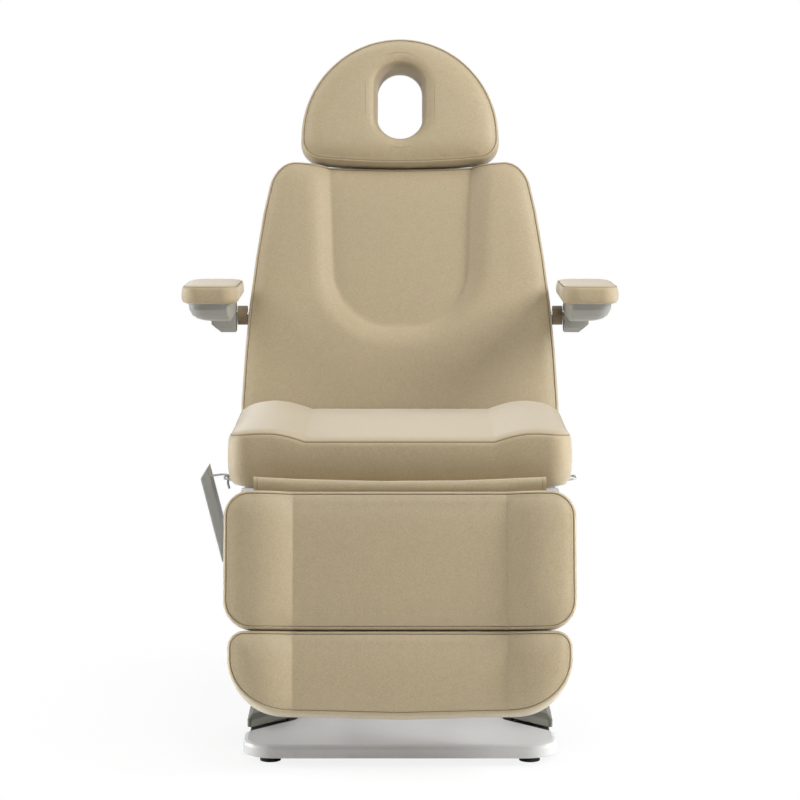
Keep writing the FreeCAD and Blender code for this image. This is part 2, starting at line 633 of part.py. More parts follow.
def make_seat(parts):
    """Rails, crossbars, tilt lugs, board and cushion of the seat."""
    rail_x0 = RAIL_OUTSIDE - RAIL_WIDTH
    front = LEG_PIVOT.y - RISER_HALF
    back = BACK_PIVOT.y + RISER_HALF
    rail = block(rail_x0, RAIL_OUTSIDE, front, back, RAIL_FLOOR, CROSSBAR_FLOOR)
    front_riser = block(rail_x0, RAIL_OUTSIDE, front, LEG_PIVOT.y + RISER_HALF, CROSSBAR_FLOOR,
                        HINGE_Z + FRONT_RISER_CAP)
    rear_riser = block(rail_x0, RAIL_OUTSIDE, BACK_PIVOT.y - RISER_HALF, back, CROSSBAR_FLOOR, HINGE_Z)
    rear_cap = eye(BACK_PIVOT.y, HINGE_Z, RISER_HALF, rail_x0, RAIL_OUTSIDE)
    rail = rail.fuse([front_riser, rear_riser, rear_cap])
    for pivot in (LEG_PIVOT, BACK_PIVOT):
        rail = rail.cut(eye(pivot.y, pivot.z, HINGE_PIN_RADIUS + PIN_FIT, rail_x0 - OVERCUT,
                            RAIL_OUTSIDE + OVERCUT))
    parts["seat_rails"] = pair(rail.removeSplitter())

    crossbars = []
    for y in (FRONT_CROSSBAR_Y, TILT_Y, REAR_CROSSBAR_Y):
        half = CROSSBAR_WIDTH / 2
        outside = block(-RAIL_OUTSIDE, RAIL_OUTSIDE, y - half, y + half, CROSSBAR_FLOOR, SEAT_UNDERSIDE)
        inside = block(-RAIL_OUTSIDE - OVERCUT, RAIL_OUTSIDE + OVERCUT, y - half + CROSSBAR_WALL,
                       y + half - CROSSBAR_WALL, CROSSBAR_FLOOR + CROSSBAR_WALL,
                       SEAT_UNDERSIDE - CROSSBAR_WALL)
        crossbars.append(outside.cut(inside))
    parts["seat_crossbars"] = Part.makeCompound(crossbars)

    x0 = TILT_LUG_INSIDE
    x1 = x0 + TILT_LUG_THICKNESS
    lug = block(x0, x1, TILT_Y - TILT_LUG_RADIUS + YOKE_GAP, TILT_Y + TILT_LUG_RADIUS - YOKE_GAP,
                TILT_Z, CROSSBAR_FLOOR)
    lug = lug.fuse(eye(TILT_Y, TILT_Z, TILT_LUG_RADIUS - YOKE_GAP, x0, x1))
    pin = eye(TILT_Y, TILT_Z, TILT_PIN_RADIUS, x0 - SLEEVE_STEP, x1 + TILT_LUG_THICKNESS + SLEEVE_STEP)
    lug = lug.fuse(pin).removeSplitter()
    half = TILT_LUG_THICKNESS / 2
    push = block(-half, half, TILT_PUSH_Y - TILT_PIN_RADIUS, TILT_PUSH_Y + TILT_PIN_RADIUS,
                 tilt_push_z() - TILT_PIN_RADIUS, CROSSBAR_FLOOR)
    push = push.fuse(eye(TILT_PUSH_Y, tilt_push_z(), CRANK_PIN_RADIUS, -CROSSBAR_WIDTH / 2,
                         CROSSBAR_WIDTH / 2)).removeSplitter()
    parts["tilt_lugs"] = Part.makeCompound([lug, mirrored(lug), push])

    board = board_corners_seat(0.0)
    board_top = SEAT_UNDERSIDE + BOARD_THICKNESS
    parts["seat_board"] = prism(board, SEAT_UNDERSIDE, board_top)
    slope = math.tan(math.radians(SEAT_REAR_SLOPE))
    wires = []
    for share, inset in WALL_ROUNDING:
        level = SEAT_UNDERSIDE + share * SEAT_THICKNESS
        rear = SEAT_TOP_BACK_Y - (SEAT_HEIGHT - level) * slope
        corners = rectangle(-SEAT_WIDTH / 2, SEAT_WIDTH / 2, SEAT_FRONT_Y, rear, SEAT_CORNER)
        wires.append(outline(inset_corners(corners, inset), level))
    cushion = loft(wires)
    cushion = cushion.cut(centre_channel(SEAT_RECESS_HALF, SEAT_RECESS_SLOPE, SEAT_RECESS_DEPTH,
                                         SEAT_FRONT_Y - 10, SEAT_TOP_BACK_Y + 10, SEAT_HEIGHT))
    pocket = prism(board_corners_seat(SOFT_FIT), SEAT_UNDERSIDE - OVERCUT, board_top)
    parts["seat_cushion"] = cushion.cut(pocket)

    parts["hook_loops"] = Part.makeCompound([hook_loop(1), hook_loop(-1)])


def board_corners_seat(grow):
    """Plan of the plywood board under the seat cushion."""
    rear = SEAT_TOP_BACK_Y - SEAT_THICKNESS * math.tan(math.radians(SEAT_REAR_SLOPE))
    corners = rectangle(-SEAT_WIDTH / 2, SEAT_WIDTH / 2, SEAT_FRONT_Y, rear, SEAT_BOARD_CORNER)
    return inset_corners(corners, SEAT_BOARD_INSET - grow)


def wire_path(points, radius, bend):
    """Bent wire: straight runs joined by tangent arcs, swept with a round section."""
    edges = []
    start = points[0]
    for i in range(1, len(points) - 1):
        arriving = (points[i - 1] - points[i]).normalize()
        leaving = (points[i + 1] - points[i]).normalize()
        half = arriving.getAngle(leaving) / 2
        reach = bend / math.tan(half)
        centre = points[i] + (arriving + leaving).normalize() * (bend / math.sin(half))
        middle = centre + (points[i] - centre).normalize() * bend
        entry = points[i] + arriving * reach
        leave = points[i] + leaving * reach
        edges.append(Part.LineSegment(start, entry).toShape())
        edges.append(Part.Arc(entry, middle, leave).toShape())
        start = leave
    edges.append(Part.LineSegment(start, points[-1]).toShape())
    spine = Part.Wire(edges)
    section = Part.Wire(Part.makeCircle(radius, points[0], points[1] - points[0]))
    return spine.makePipeShell([section], True, False)


def hook_loop(side):
    """Wire loop on the end of the front crossbar, one on each side of the seat."""
    leg_z = SEAT_UNDERSIDE - LOOP_LEG_DROP
    inner = side * RAIL_OUTSIDE
    knee = side * (RAIL_OUTSIDE + LOOP_LEVEL)
    outer = side * (RAIL_OUTSIDE + LOOP_REACH)
    front = HOOK_Y - LOOP_HALF
    rear = HOOK_Y + LOOP_HALF
    points = [V(inner, front, leg_z), V(knee, front, leg_z), V(outer, front, leg_z + LOOP_RISE),
              V(outer, rear, leg_z + LOOP_RISE), V(knee, rear, leg_z), V(inner, rear, leg_z)]
    return wire_path(points, WIRE_RADIUS, 3 * WIRE_RADIUS)


def crank_pin(pivot, crank, half_swing):
    """Where the crank pin stands at rest: half the swing behind the lowest point."""
    angle = math.radians(half_swing)
    return V(0, pivot.y + crank * math.sin(angle), pivot.z - crank * math.cos(angle))


def make_actuator(parts, name, x, pivot, crank, swing, facing, saddles):
    """Fixed body under the seat, sliding rod with a slotted yoke, and the crank that it drives.

    facing is -1 for a rod that leaves towards the feet and +1 towards the head. Both rods move
    towards the feet, so the one that faces the head draws back into its body.
    """
    pin = crank_pin(pivot, crank, swing / 2)
    stroke = 2 * crank * math.sin(math.radians(swing / 2))
    drawn_back = stroke if facing > 0 else 0.0
    half = YOKE_WIDTH / 2
    yoke_half = CRANK_PIN_RADIUS + YOKE_SLACK + SLEEVE_STEP + YOKE_GAP
    mouth = pin.y - facing * (drawn_back + yoke_half + YOKE_GAP + YOKE_SLACK)
    tail = mouth - facing * (stroke + MOTOR_LENGTH + 2 * ACTUATOR_RADIUS)
    held = MOTOR_LENGTH / 4
    rod_tail = mouth - facing * (stroke - drawn_back + held)
    bore_end = mouth - facing * (stroke + held + SLEEVE_STEP)
    body = bar(V(x, mouth, pin.z), V(x, tail, pin.z), ACTUATOR_RADIUS)
    inner = 1 if x < 0 else -1
    motor_y = tail + facing * ACTUATOR_RADIUS
    motor = bar(V(x, motor_y, pin.z), V(x + inner * MOTOR_REACH, motor_y, pin.z), MOTOR_RADIUS)
    body = body.fuse(motor)
    for y in saddles:
        saddle = block(x - half, x + half, y - half, y + half, pin.z, CROSSBAR_FLOOR)
        body = body.fuse(saddle)
    bore = bar(V(x, mouth + facing * OVERCUT, pin.z), V(x, bore_end, pin.z), ACTUATOR_ROD_RADIUS + SLIDE_FIT)
    parts[name + "_actuator"] = body.cut(bore).removeSplitter()

    drop = crank * (1 - math.cos(math.radians(swing / 2)))
    rod_end = pin.y - facing * (yoke_half - OVERCUT)
    rod = bar(V(x, rod_tail, pin.z), V(x, rod_end, pin.z), ACTUATOR_ROD_RADIUS)
    slot_top = pin.z + CRANK_PIN_RADIUS + YOKE_SLACK
    slot_floor = pin.z - drop - CRANK_PIN_RADIUS - YOKE_SLACK
    yoke = block(x - half, x + half, pin.y - yoke_half, pin.y + yoke_half, slot_floor - SLEEVE_STEP,
                 slot_top + SLEEVE_STEP)
    reach = CRANK_PIN_RADIUS + YOKE_SLACK
    slot = block(x - half - OVERCUT, x + half + OVERCUT, pin.y - reach, pin.y + reach, slot_floor, slot_top)
    parts[name + "_rod"] = rod.fuse(yoke).cut(slot).removeSplitter()

    shaft = bar(V(-ARM_BAR_INSIDE - ARM_BAR_THICKNESS, pivot.y, pivot.z),
                V(ARM_BAR_INSIDE + ARM_BAR_THICKNESS, pivot.y, pivot.z), HINGE_SHAFT_RADIUS)
    end = RAIL_OUTSIDE - YOKE_GAP / 2
    shaft = shaft.fuse(eye(pivot.y, pivot.z, HINGE_PIN_RADIUS, -end, end))
    gap = half + YOKE_GAP
    across = V(0, pin.z - pivot.z, pivot.y - pin.y).normalize() * PIN_EYE
    plates = []
    for x0 in (x - gap - CRANK_PLATE, x + gap):
        x1 = x0 + CRANK_PLATE
        arm = side_plate([(pivot.y + across.y, pivot.z + across.z), (pin.y + across.y, pin.z + across.z),
                          (pin.y - across.y, pin.z - across.z),
                          (pivot.y - across.y, pivot.z - across.z)], x0, x1)
        plates += [arm, eye(pivot.y, pivot.z, CRANK_EYE, x0, x1), eye(pin.y, pin.z, PIN_EYE, x0, x1)]
    plates.append(eye(pin.y, pin.z, CRANK_PIN_RADIUS, x - gap - CRANK_PLATE, x + gap + CRANK_PLATE))
    parts[name + "_crank"] = shaft.fuse(plates).removeSplitter()


def section_arms(low, high, drop, top, nose_drop):
    """Two side bars of a hinged section, flat about the hinge, eased near the hinge."""
    x1 = ARM_BAR_INSIDE + ARM_BAR_THICKNESS
    ease = 2 * CRANK_EYE
    nose = CRANK_EYE
    if high > 0:
        points = [(-nose, -drop), (high, -drop), (high, top), (ease, top), (ease - ARM_BAR_STEP, nose_drop),
                  (-nose, nose_drop)]
    else:
        points = [(nose, -drop), (nose, nose_drop), (ARM_BAR_STEP - ease, nose_drop), (-ease, top),
                  (low, top), (low, -drop)]
    arm = side_plate(points, ARM_BAR_INSIDE, x1)
    return arm.cut(eye(0, 0, HINGE_SHAFT_RADIUS + PIN_FIT, ARM_BAR_INSIDE - OVERCUT, x1 + OVERCUT))


def cross_members(places, top):
    """Flat bars between a section's side bars."""
    return [block(-ARM_BAR_INSIDE, ARM_BAR_INSIDE, y - CROSS_WIDTH / 2, y + CROSS_WIDTH / 2,
                  top - CROSS_DEPTH, top) for y in places]


def guide_tube(x, y0, y1, level):
    """Tube in which a slide rod runs."""
    outer = bar(V(x, y0, level), V(x, y1, level), SLIDE_ROD_RADIUS + GUIDE_WALL)
    return outer.cut(bar(V(x, y0 - OVERCUT, level), V(x, y1 + OVERCUT, level), SLIDE_ROD_RADIUS + SLIDE_FIT))


def slide_level():
    """Height of the slide rods: their guides lie on the cross members."""
    return SLIDE_ROD_RADIUS + GUIDE_WALL - (FRAME_DROP - CROSS_DEPTH)


def make_leg(parts):
    """Leg rest, its frame, the foot rest and the slide rods that carry it."""
    def turn(shape):
        return seated(shape, LEG_REST_ANGLE, LEG_PIVOT)

    top_end = -LEG_END_GAP
    low_end = top_end - LEG_LENGTH
    half = LEG_WIDTH / 2
    corners = rectangle(-half, half, low_end, top_end, LEG_CORNER)
    cushion = padded_form(corners, LEG_UNDERSIDE, PAD_TOP)
    cushion = cushion.cut(centre_channel(LEG_RECESS_HALF, LEG_RECESS_SLOPE, LEG_RECESS_DEPTH,
                                         low_end - 10, top_end + 10, PAD_TOP))
    board_top = LEG_UNDERSIDE + BOARD_THICKNESS
    board = inset_corners(corners, LEG_BOARD_INSET)
    parts["leg_cushion"] = turn(cushion.cut(prism(inset_corners(corners, LEG_BOARD_INSET - SOFT_FIT),
                                                  LEG_UNDERSIDE - OVERCUT, board_top)))
    parts["leg_board"] = turn(prism(board, LEG_UNDERSIDE, board_top))
    arm = section_arms(low_end + CROSS_WIDTH, 0, FRAME_DROP, LEG_UNDERSIDE, FRONT_RISER_CAP)
    parts["leg_arms"] = pair(turn(arm))
    cross_top = CROSS_DEPTH - FRAME_DROP
    guide_x = ARM_BAR_INSIDE * GUIDE_SHARE
    first = low_end + 2 * CROSS_WIDTH
    second = top_end - 3 * CROSS_WIDTH
    level = slide_level()
    members = cross_members((first, second), cross_top)
    for side in (-1, 1):
        members.append(guide_tube(side * guide_x, first - CROSS_WIDTH, second + CROSS_WIDTH, level))
    parts["leg_cross_members"] = turn(Part.makeCompound(members))

    flap_y = top_end
    flap_h = LEG_UNDERSIDE + (LEG_PAD_THICKNESS - FLAP_THICKNESS) / 2
    flap = block(-FLAP_WIDTH / 2, FLAP_WIDTH / 2, flap_y, flap_y + FLAP_HEIGHT, flap_h,
                 flap_h + FLAP_THICKNESS)
    parts["gap_flap"] = turn(flap)

    foot_top = low_end - FOOT_GAP
    foot_low = foot_top - FOOT_LENGTH
    half = FOOT_WIDTH / 2
    corners = [(-half, foot_low, FOOT_CORNER_LOW), (half, foot_low, FOOT_CORNER_LOW),
               (half, foot_top, FOOT_CORNER_HIGH), (-half, foot_top, FOOT_CORNER_HIGH)]
    cushion = padded_form(corners, LEG_UNDERSIDE, PAD_TOP)
    cushion = cushion.cut(centre_channel(LEG_RECESS_HALF, LEG_RECESS_SLOPE, LEG_RECESS_DEPTH,
                                         foot_low - 10, foot_top + 10, PAD_TOP))
    parts["foot_cushion"] = turn(cushion.cut(prism(inset_corners(corners, LEG_BOARD_INSET - SOFT_FIT),
                                                   LEG_UNDERSIDE - OVERCUT, board_top)))
    parts["foot_board"] = turn(prism(inset_corners(corners, LEG_BOARD_INSET), LEG_UNDERSIDE, board_top))
    rod_low = foot_low + FOOT_LENGTH * 0.3
    rods = []
    for side in (-1, 1):
        x = side * guide_x
        rods.append(bar(V(x, rod_low, level), V(x, second, level), SLIDE_ROD_RADIUS))
        rods.append(block(x - CROSS_WIDTH, x + CROSS_WIDTH, rod_low, rod_low + CROSS_WIDTH,
                          level + SLIDE_ROD_RADIUS, LEG_UNDERSIDE))
    parts["foot_rods"] = turn(Part.makeCompound(rods))


def back_corners():
    """Outline of the backrest, flat about its hinge."""
    right = [(BACK_HALF_LOW, -BACK_LOW_END, BACK_LOW_CORNER),
             (BACK_HALF_LOW, BACK_JUNCTION, BACK_SIDE_ROUND),
             (BACK_HALF_MID, BACK_JUNCTION + BACK_MID, BACK_SIDE_ROUND),
             (BACK_HALF_HIGH, BACK_JUNCTION + BACK_HIGH, BACK_SHOULDER_ROUND),
             (BACK_HALF_TOP, BACK_HIGH_END, BACK_TOP_CORNER)]
    middle = [(0.0, BACK_HIGH_END - BACK_TOP_DIP, BACK_TOP_BOW)]
    left = [(-x, y, radius) for x, y, radius in reversed(right)]
    return right + middle + left


def back_recess():
    """Tool for the sunk U of the backrest, open at its top edge."""
    wires = []
    for level, grow in ((PAD_TOP - BACK_RECESS_DEPTH, 0.0), (PAD_TOP, BACK_RECESS_SLOPE),
                        (PAD_TOP + BACK_RECESS_DEPTH, 2 * BACK_RECESS_SLOPE)):
        half = BACK_RECESS_HALF + grow
        low = BACK_RECESS_LOW - grow
        corner = BACK_RECESS_CORNER + grow
        high = BACK_HIGH_END + BACK_RECESS_SLOPE
        corners = [(-half, low, corner), (half, low, corner), (half, high, LEAST_CORNER),
                   (-half, high, LEAST_CORNER)]
        wires.append(outline(corners, level))
    return loft(wires)


def make_back(parts):
    """Backrest, its frame, the headrest sockets and the armrest shafts."""
    def turn(shape):
        return seated(shape, BACK_REST_ANGLE, BACK_PIVOT)

    corners = back_corners()
    cushion = padded_form(corners, BACK_UNDERSIDE, PAD_TOP).cut(back_recess())
    board_top = BACK_UNDERSIDE + BOARD_THICKNESS
    pocket = prism(inset_corners(corners, BACK_BOARD_INSET - SOFT_FIT), BACK_UNDERSIDE - OVERCUT, board_top)
    cushion = cushion.cut(pocket)
    bracket_x0 = ARM_BAR_INSIDE + ARM_BAR_THICKNESS
    bracket_x1 = bracket_x0 + ARM_BRACKET_THICKNESS
    shafts = []
    for side in (-1, 1):
        x0, x1 = sorted((side * bracket_x0, side * bracket_x1))
        slot = block(x0 - SLIDE_FIT, x1 + SLIDE_FIT, ARM_S - ARM_BRACKET_HALF - SLIDE_FIT,
                     ARM_S + ARM_BRACKET_HALF + SLIDE_FIT, BACK_UNDERSIDE - OVERCUT,
                     ARM_H + ARM_BRACKET_CAP + ARM_BRACKET_ROOM)
        tunnel = bar(V(side * bracket_x0, ARM_S, ARM_H), V(side * BACK_HALF_LOW, ARM_S, ARM_H),
                     ARM_SHAFT_RADIUS + SOFT_FIT)
        cushion = cushion.cut(slot).cut(tunnel)
        plate = block(x0, x1, ARM_S - ARM_BRACKET_HALF, ARM_S + ARM_BRACKET_HALF, -FRAME_DROP,
                      ARM_H + ARM_BRACKET_CAP)
        shaft = bar(V(side * bracket_x0, ARM_S, ARM_H), V(side * arm_shaft_end(), ARM_S, ARM_H),
                    ARM_SHAFT_RADIUS)
        shafts.append(turn(plate.fuse(shaft).removeSplitter()))
    parts["arm_shafts"] = Part.makeCompound(shafts)
    parts["back_cushion"] = turn(cushion)
    parts["back_board"] = turn(prism(inset_corners(corners, BACK_BOARD_INSET), BACK_UNDERSIDE, board_top))
    arm_top = BACK_HIGH_END - 2 * CROSS_WIDTH
    arm = section_arms(0, arm_top, FRAME_DROP, BACK_UNDERSIDE, HINGE_CAP)
    parts["back_arms"] = pair(turn(arm))
    cross_top = CROSS_DEPTH - FRAME_DROP
    high = arm_top - CROSS_WIDTH
    middle = high - HEAD_ROD_LENGTH * 0.6
    low = BACK_JUNCTION + CROSS_WIDTH
    members = cross_members((low, middle, high), cross_top)
    for side in (-1, 1):
        members.append(guide_tube(side * HEAD_ROD_X, middle - CROSS_WIDTH, high + CROSS_WIDTH,
                                  slide_level()))
    parts["back_cross_members"] = turn(Part.makeCompound(members))


def head_outline(inset, level):
    """Outline of the headrest: half an ellipse on a shallow skirt with rounded corners."""
    half = HEAD_HALF_WIDTH - inset
    rise = HEAD_RISE - inset
    shoulder = HEAD_LOW + HEAD_SHOULDER
    corner = max(HEAD_CORNER - inset, HEAD_CORNER_LEAST)
    bottom = HEAD_LOW + HEAD_BOW + inset

    def on_ellipse(degrees):
        angle = math.radians(degrees)
        return V(half * math.cos(angle), shoulder + rise * math.sin(angle), level)

    edges = []
    for first in (0, 45, 90, 135):
        edges.append(Part.Arc(on_ellipse(first), on_ellipse(first + 22.5), on_ellipse(first + 45)).toShape())
    lean = corner * (1 - math.sqrt(0.5))
    left_side = V(-half, bottom + corner, level)
    left_foot = V(-half + corner, bottom, level)
    edges.append(Part.LineSegment(V(-half, shoulder, level), left_side).toShape())
    edges.append(Part.Arc(left_side, V(-half + lean, bottom + lean, level), left_foot).toShape())
    right_foot = V(half - corner, bottom, level)
    right_side = V(half, bottom + corner, level)
    edges.append(Part.Arc(left_foot, V(0, bottom - HEAD_BOW, level), right_foot).toShape())
    edges.append(Part.Arc(right_foot, V(half - lean, bottom + lean, level), right_side).toShape())
    edges.append(Part.LineSegment(right_side, V(half, shoulder, level)).toShape())
    return Part.Wire(edges)


def face_hole(grow, level):
    """Outline of the breathing hole in the headrest."""
    centre = HEAD_LOW + HOLE_CENTRE
    half_x = HOLE_HALF_WIDTH + grow
    half_y = HOLE_HALF_LENGTH + grow
    return outline(rectangle(-half_x, half_x, centre - half_y, centre + half_y, half_x - HOLE_EASE), level)


def make_head(parts):
    """Headrest on two rods that slide in the backrest."""
    def turn(shape):
        return seated(shape, BACK_REST_ANGLE, BACK_PIVOT)

    wires = []
    for share, inset in WALL_ROUNDING:
        wires.append(head_outline(inset, HEAD_UNDERSIDE + share * HEAD_PAD_THICKNESS))
    cushion = loft(wires)
    hole = loft([face_hole(0, HEAD_UNDERSIDE - OVERCUT), face_hole(0, PAD_TOP - 3 * HOLE_FLARE),
                 face_hole(HOLE_FLARE * 0.4, PAD_TOP - HOLE_FLARE),
                 face_hole(HOLE_FLARE, PAD_TOP), face_hole(2 * HOLE_FLARE, PAD_TOP + HOLE_FLARE)])
    deep = UP * (BOARD_THICKNESS + OVERCUT)
    below = HEAD_UNDERSIDE - OVERCUT
    pocket = Part.Face(head_outline(HEAD_BOARD_INSET - SOFT_FIT, below)).extrude(deep)
    around = Part.Face(face_hole(SLEEVE_STEP, below)).extrude(deep)
    parts["head_cushion"] = turn(cushion.cut(pocket.cut(around)).cut(hole))
    board = Part.Face(head_outline(HEAD_BOARD_INSET, HEAD_UNDERSIDE)).extrude(UP * BOARD_THICKNESS)
    clear = Part.Face(face_hole(SLEEVE_STEP + SOFT_FIT, below)).extrude(2 * deep)
    parts["head_board"] = turn(board.cut(clear))
    level = slide_level()
    top = HEAD_LOW + HEAD_SHOULDER
    rods = []
    for side in (-1, 1):
        x = side * HEAD_ROD_X
        rods.append(bar(V(x, top - HEAD_ROD_LENGTH, level), V(x, top, level), SLIDE_ROD_RADIUS))
        rods.append(block(x - CROSS_WIDTH / 2, x + CROSS_WIDTH / 2, top - CROSS_WIDTH, top,
                          level + SLIDE_ROD_RADIUS, HEAD_UNDERSIDE))
    parts["head_rods"] = turn(Part.makeCompound(rods))


def arm_shaft_end():
    """Outer end of the shaft that carries an armrest."""
    return ARM_COLLAR_START + ARM_COLLAR_LENGTH + ARM_SIDE_GAP + ARM_SHAFT_DEPTH


def make_armrest(parts):
    """Collar, shell and pad of the right armrest, and their mirror images."""
    axis = seated_point(V(0, ARM_S, ARM_H), BACK_REST_ANGLE, BACK_PIVOT)
    collar_end = ARM_COLLAR_START + ARM_COLLAR_LENGTH
    bore = eye(axis.y, axis.z, ARM_SHAFT_RADIUS + PIN_FIT, ARM_COLLAR_START - OVERCUT, arm_shaft_end())
    collar = eye(axis.y, axis.z, ARM_COLLAR_RADIUS, ARM_COLLAR_START, collar_end).cut(bore)

    pad_floor = axis.z + ARM_PAD_RISE
    pad_back = axis.y - 2 * PIN_FIT - SLEEVE_STEP
    pad_front = pad_back - ARM_PAD_LENGTH
    pad_outside = ARM_PAD_INSIDE + ARM_PAD_WIDTH
    pad_corners = rectangle(ARM_PAD_INSIDE, pad_outside, pad_front, pad_back, ARM_PAD_CORNER)
    wires = []
    for share, inset in ARM_PAD_ROUNDING:
        wires.append(outline(inset_corners(pad_corners, inset), pad_floor + share * ARM_PAD_THICKNESS))
    pad = loft(wires)

    shell_x0 = collar_end + ARM_SIDE_GAP
    shell_x1 = shell_x0 + ARM_SHELL_WIDTH
    shell_front = pad_front + ARM_PAD_CORNER / 2
    wires = []
    for share, side_inset, end_inset in ARM_SHELL_ROUNDING:
        x1 = shell_x1 - side_inset
        y0 = shell_front + end_inset
        y1 = pad_back - end_inset / 2
        outer = ARM_SHELL_CORNER - ARM_SHELL_CORNER * share / 2
        rim = [(shell_x0, y0, ARM_SHELL_INNER_CORNER), (x1, y0, outer), (x1, y1, outer),
               (shell_x0, y1, ARM_SHELL_INNER_CORNER)]
        wires.append(outline(rim, pad_floor - share * ARM_SHELL_DROP))
    shell = loft(wires)
    hub_x1 = shell_x0 + ARM_HUB_WIDTH
    low = axis.z - ARM_HUB_DROP
    hub_top = pad_floor - ARM_SHELL_DROP / 2
    hub_front = axis.y - ARM_HUB_HALF
    hub_back = axis.y + ARM_HUB_HALF
    hub = side_plate([(hub_front, low + ARM_HUB_EDGE), (hub_front + ARM_HUB_EDGE, low),
                      (hub_back - ARM_HUB_EDGE, low), (hub_back, low + ARM_HUB_EDGE),
                      (hub_back, hub_top - ARM_HUB_EDGE), (hub_back - 2 * ARM_HUB_EDGE, hub_top),
                      (hub_front, hub_top)], shell_x0, hub_x1)
    corner = [V(hub_x1 - ARM_HUB_CUT_WIDTH, hub_front, low), V(hub_x1, hub_front, low),
              V(hub_x1, hub_front, low + ARM_HUB_CUT_HEIGHT)]
    hub = hub.cut(Part.Face(Part.makePolygon(corner + corner[:1])).extrude(ALONG * (hub_back - hub_front)))
    shell = shell.fuse(hub).cut(bore).removeSplitter()
    for name, shape in (("collar", collar), ("shell", shell), ("pad", pad)):
        parts["arm_" + name + "_right"] = shape
        parts["arm_" + name + "_left"] = mirrored(shape)


def make_pedals(parts):
    """Two foot pedals in the waist of the base, each rocking on a pin in its housing."""
    wide = BASE_WIDTH / 2
    waist = BASE_WAIST / 2
    outside = wide - PEDAL_INSET
    inside = waist + PEDAL_WAIST_GAP
    start = V(wide, BASE_FRONT_Y + BASE_TOE, 0)
    edge = (V(waist, BASE_FRONT_Y + BASE_TOE + BASE_TAPER, 0) - start).normalize()
    away = V(edge.y, -edge.x, 0)

    def on_edge(x, gap):
        shifted = start + away * gap
        return shifted + edge * ((x - shifted.x) / edge.x)

    tip = on_edge(outside, PEDAL_GAP)
    heel = on_edge(inside, PEDAL_GAP)
    plan = [(tip.x, tip.y, PEDAL_FRONT_CORNER), (outside, PEDAL_BACK_Y, PEDAL_BACK_CORNER),
            (inside, PEDAL_BACK_Y, PEDAL_BACK_CORNER), (heel.x, heel.y, PEDAL_FRONT_CORNER)]
    top = PEDAL_UNDERSIDE + PEDAL_THICKNESS
    plate = loft([outline(plan, PEDAL_UNDERSIDE), outline(plan, top - PEDAL_BEVEL),
                  outline(inset_corners(plan, PEDAL_BEVEL), top)])
    ear_a = inside + PEDAL_EAR
    ear_b = outside - 2 * PEDAL_EAR
    reach = 2 * PEDAL_PIN_RADIUS
    lug_half = PEDAL_PIN_RADIUS + PEDAL_EAR / 2.5
    lug = block(ear_a + PEDAL_EAR + SLIDE_FIT, ear_b - SLIDE_FIT, PEDAL_PIVOT_Y - lug_half,
                PEDAL_PIVOT_Y + lug_half, PEDAL_PIVOT_Z - lug_half, PEDAL_UNDERSIDE)
    plate = plate.fuse(lug).cut(eye(PEDAL_PIVOT_Y, PEDAL_PIVOT_Z, PEDAL_PIN_RADIUS + PIN_FIT,
                                    inside - OVERCUT, outside + OVERCUT)).removeSplitter()
    parts["pedal_right"] = plate
    parts["pedal_left"] = mirrored(plate)

    low_tip = on_edge(outside - PEDAL_GAP, PEDAL_GAP / 2)
    low_heel = on_edge(waist, PEDAL_GAP / 2)
    low_heel_y = low_heel.y + PEDAL_GAP + BASE_TAPER / 4
    low_plan = [(low_tip.x, low_tip.y + PEDAL_GAP, HOUSING_CORNER),
                (low_tip.x, PEDAL_BACK_Y - PEDAL_GAP, HOUSING_CORNER),
                (waist, PEDAL_BACK_Y - PEDAL_GAP, HOUSING_CORNER), (waist, low_heel_y, HOUSING_CORNER)]
    roof = HOUSING_FLOOR + HOUSING_HEIGHT
    housing = prism(low_plan, HOUSING_FLOOR, roof)
    for x0 in (ear_a, ear_b):
        ear = block(x0, x0 + PEDAL_EAR, PEDAL_PIVOT_Y - reach, PEDAL_PIVOT_Y + reach, roof,
                    PEDAL_UNDERSIDE - PEDAL_EAR / 6)
        housing = housing.fuse(ear)
    pin = eye(PEDAL_PIVOT_Y, PEDAL_PIVOT_Z, PEDAL_PIN_RADIUS, ear_a, ear_b + PEDAL_EAR)
    well = block(ear_a + PEDAL_EAR, ear_b, PEDAL_PIVOT_Y - 1.5 * reach, PEDAL_PIVOT_Y + 1.5 * reach,
                 PEDAL_PIVOT_Z - 2 * reach, roof + OVERCUT)
    housing = housing.cut(well).fuse(pin).removeSplitter()
    parts["pedal_housings"] = pair(housing)


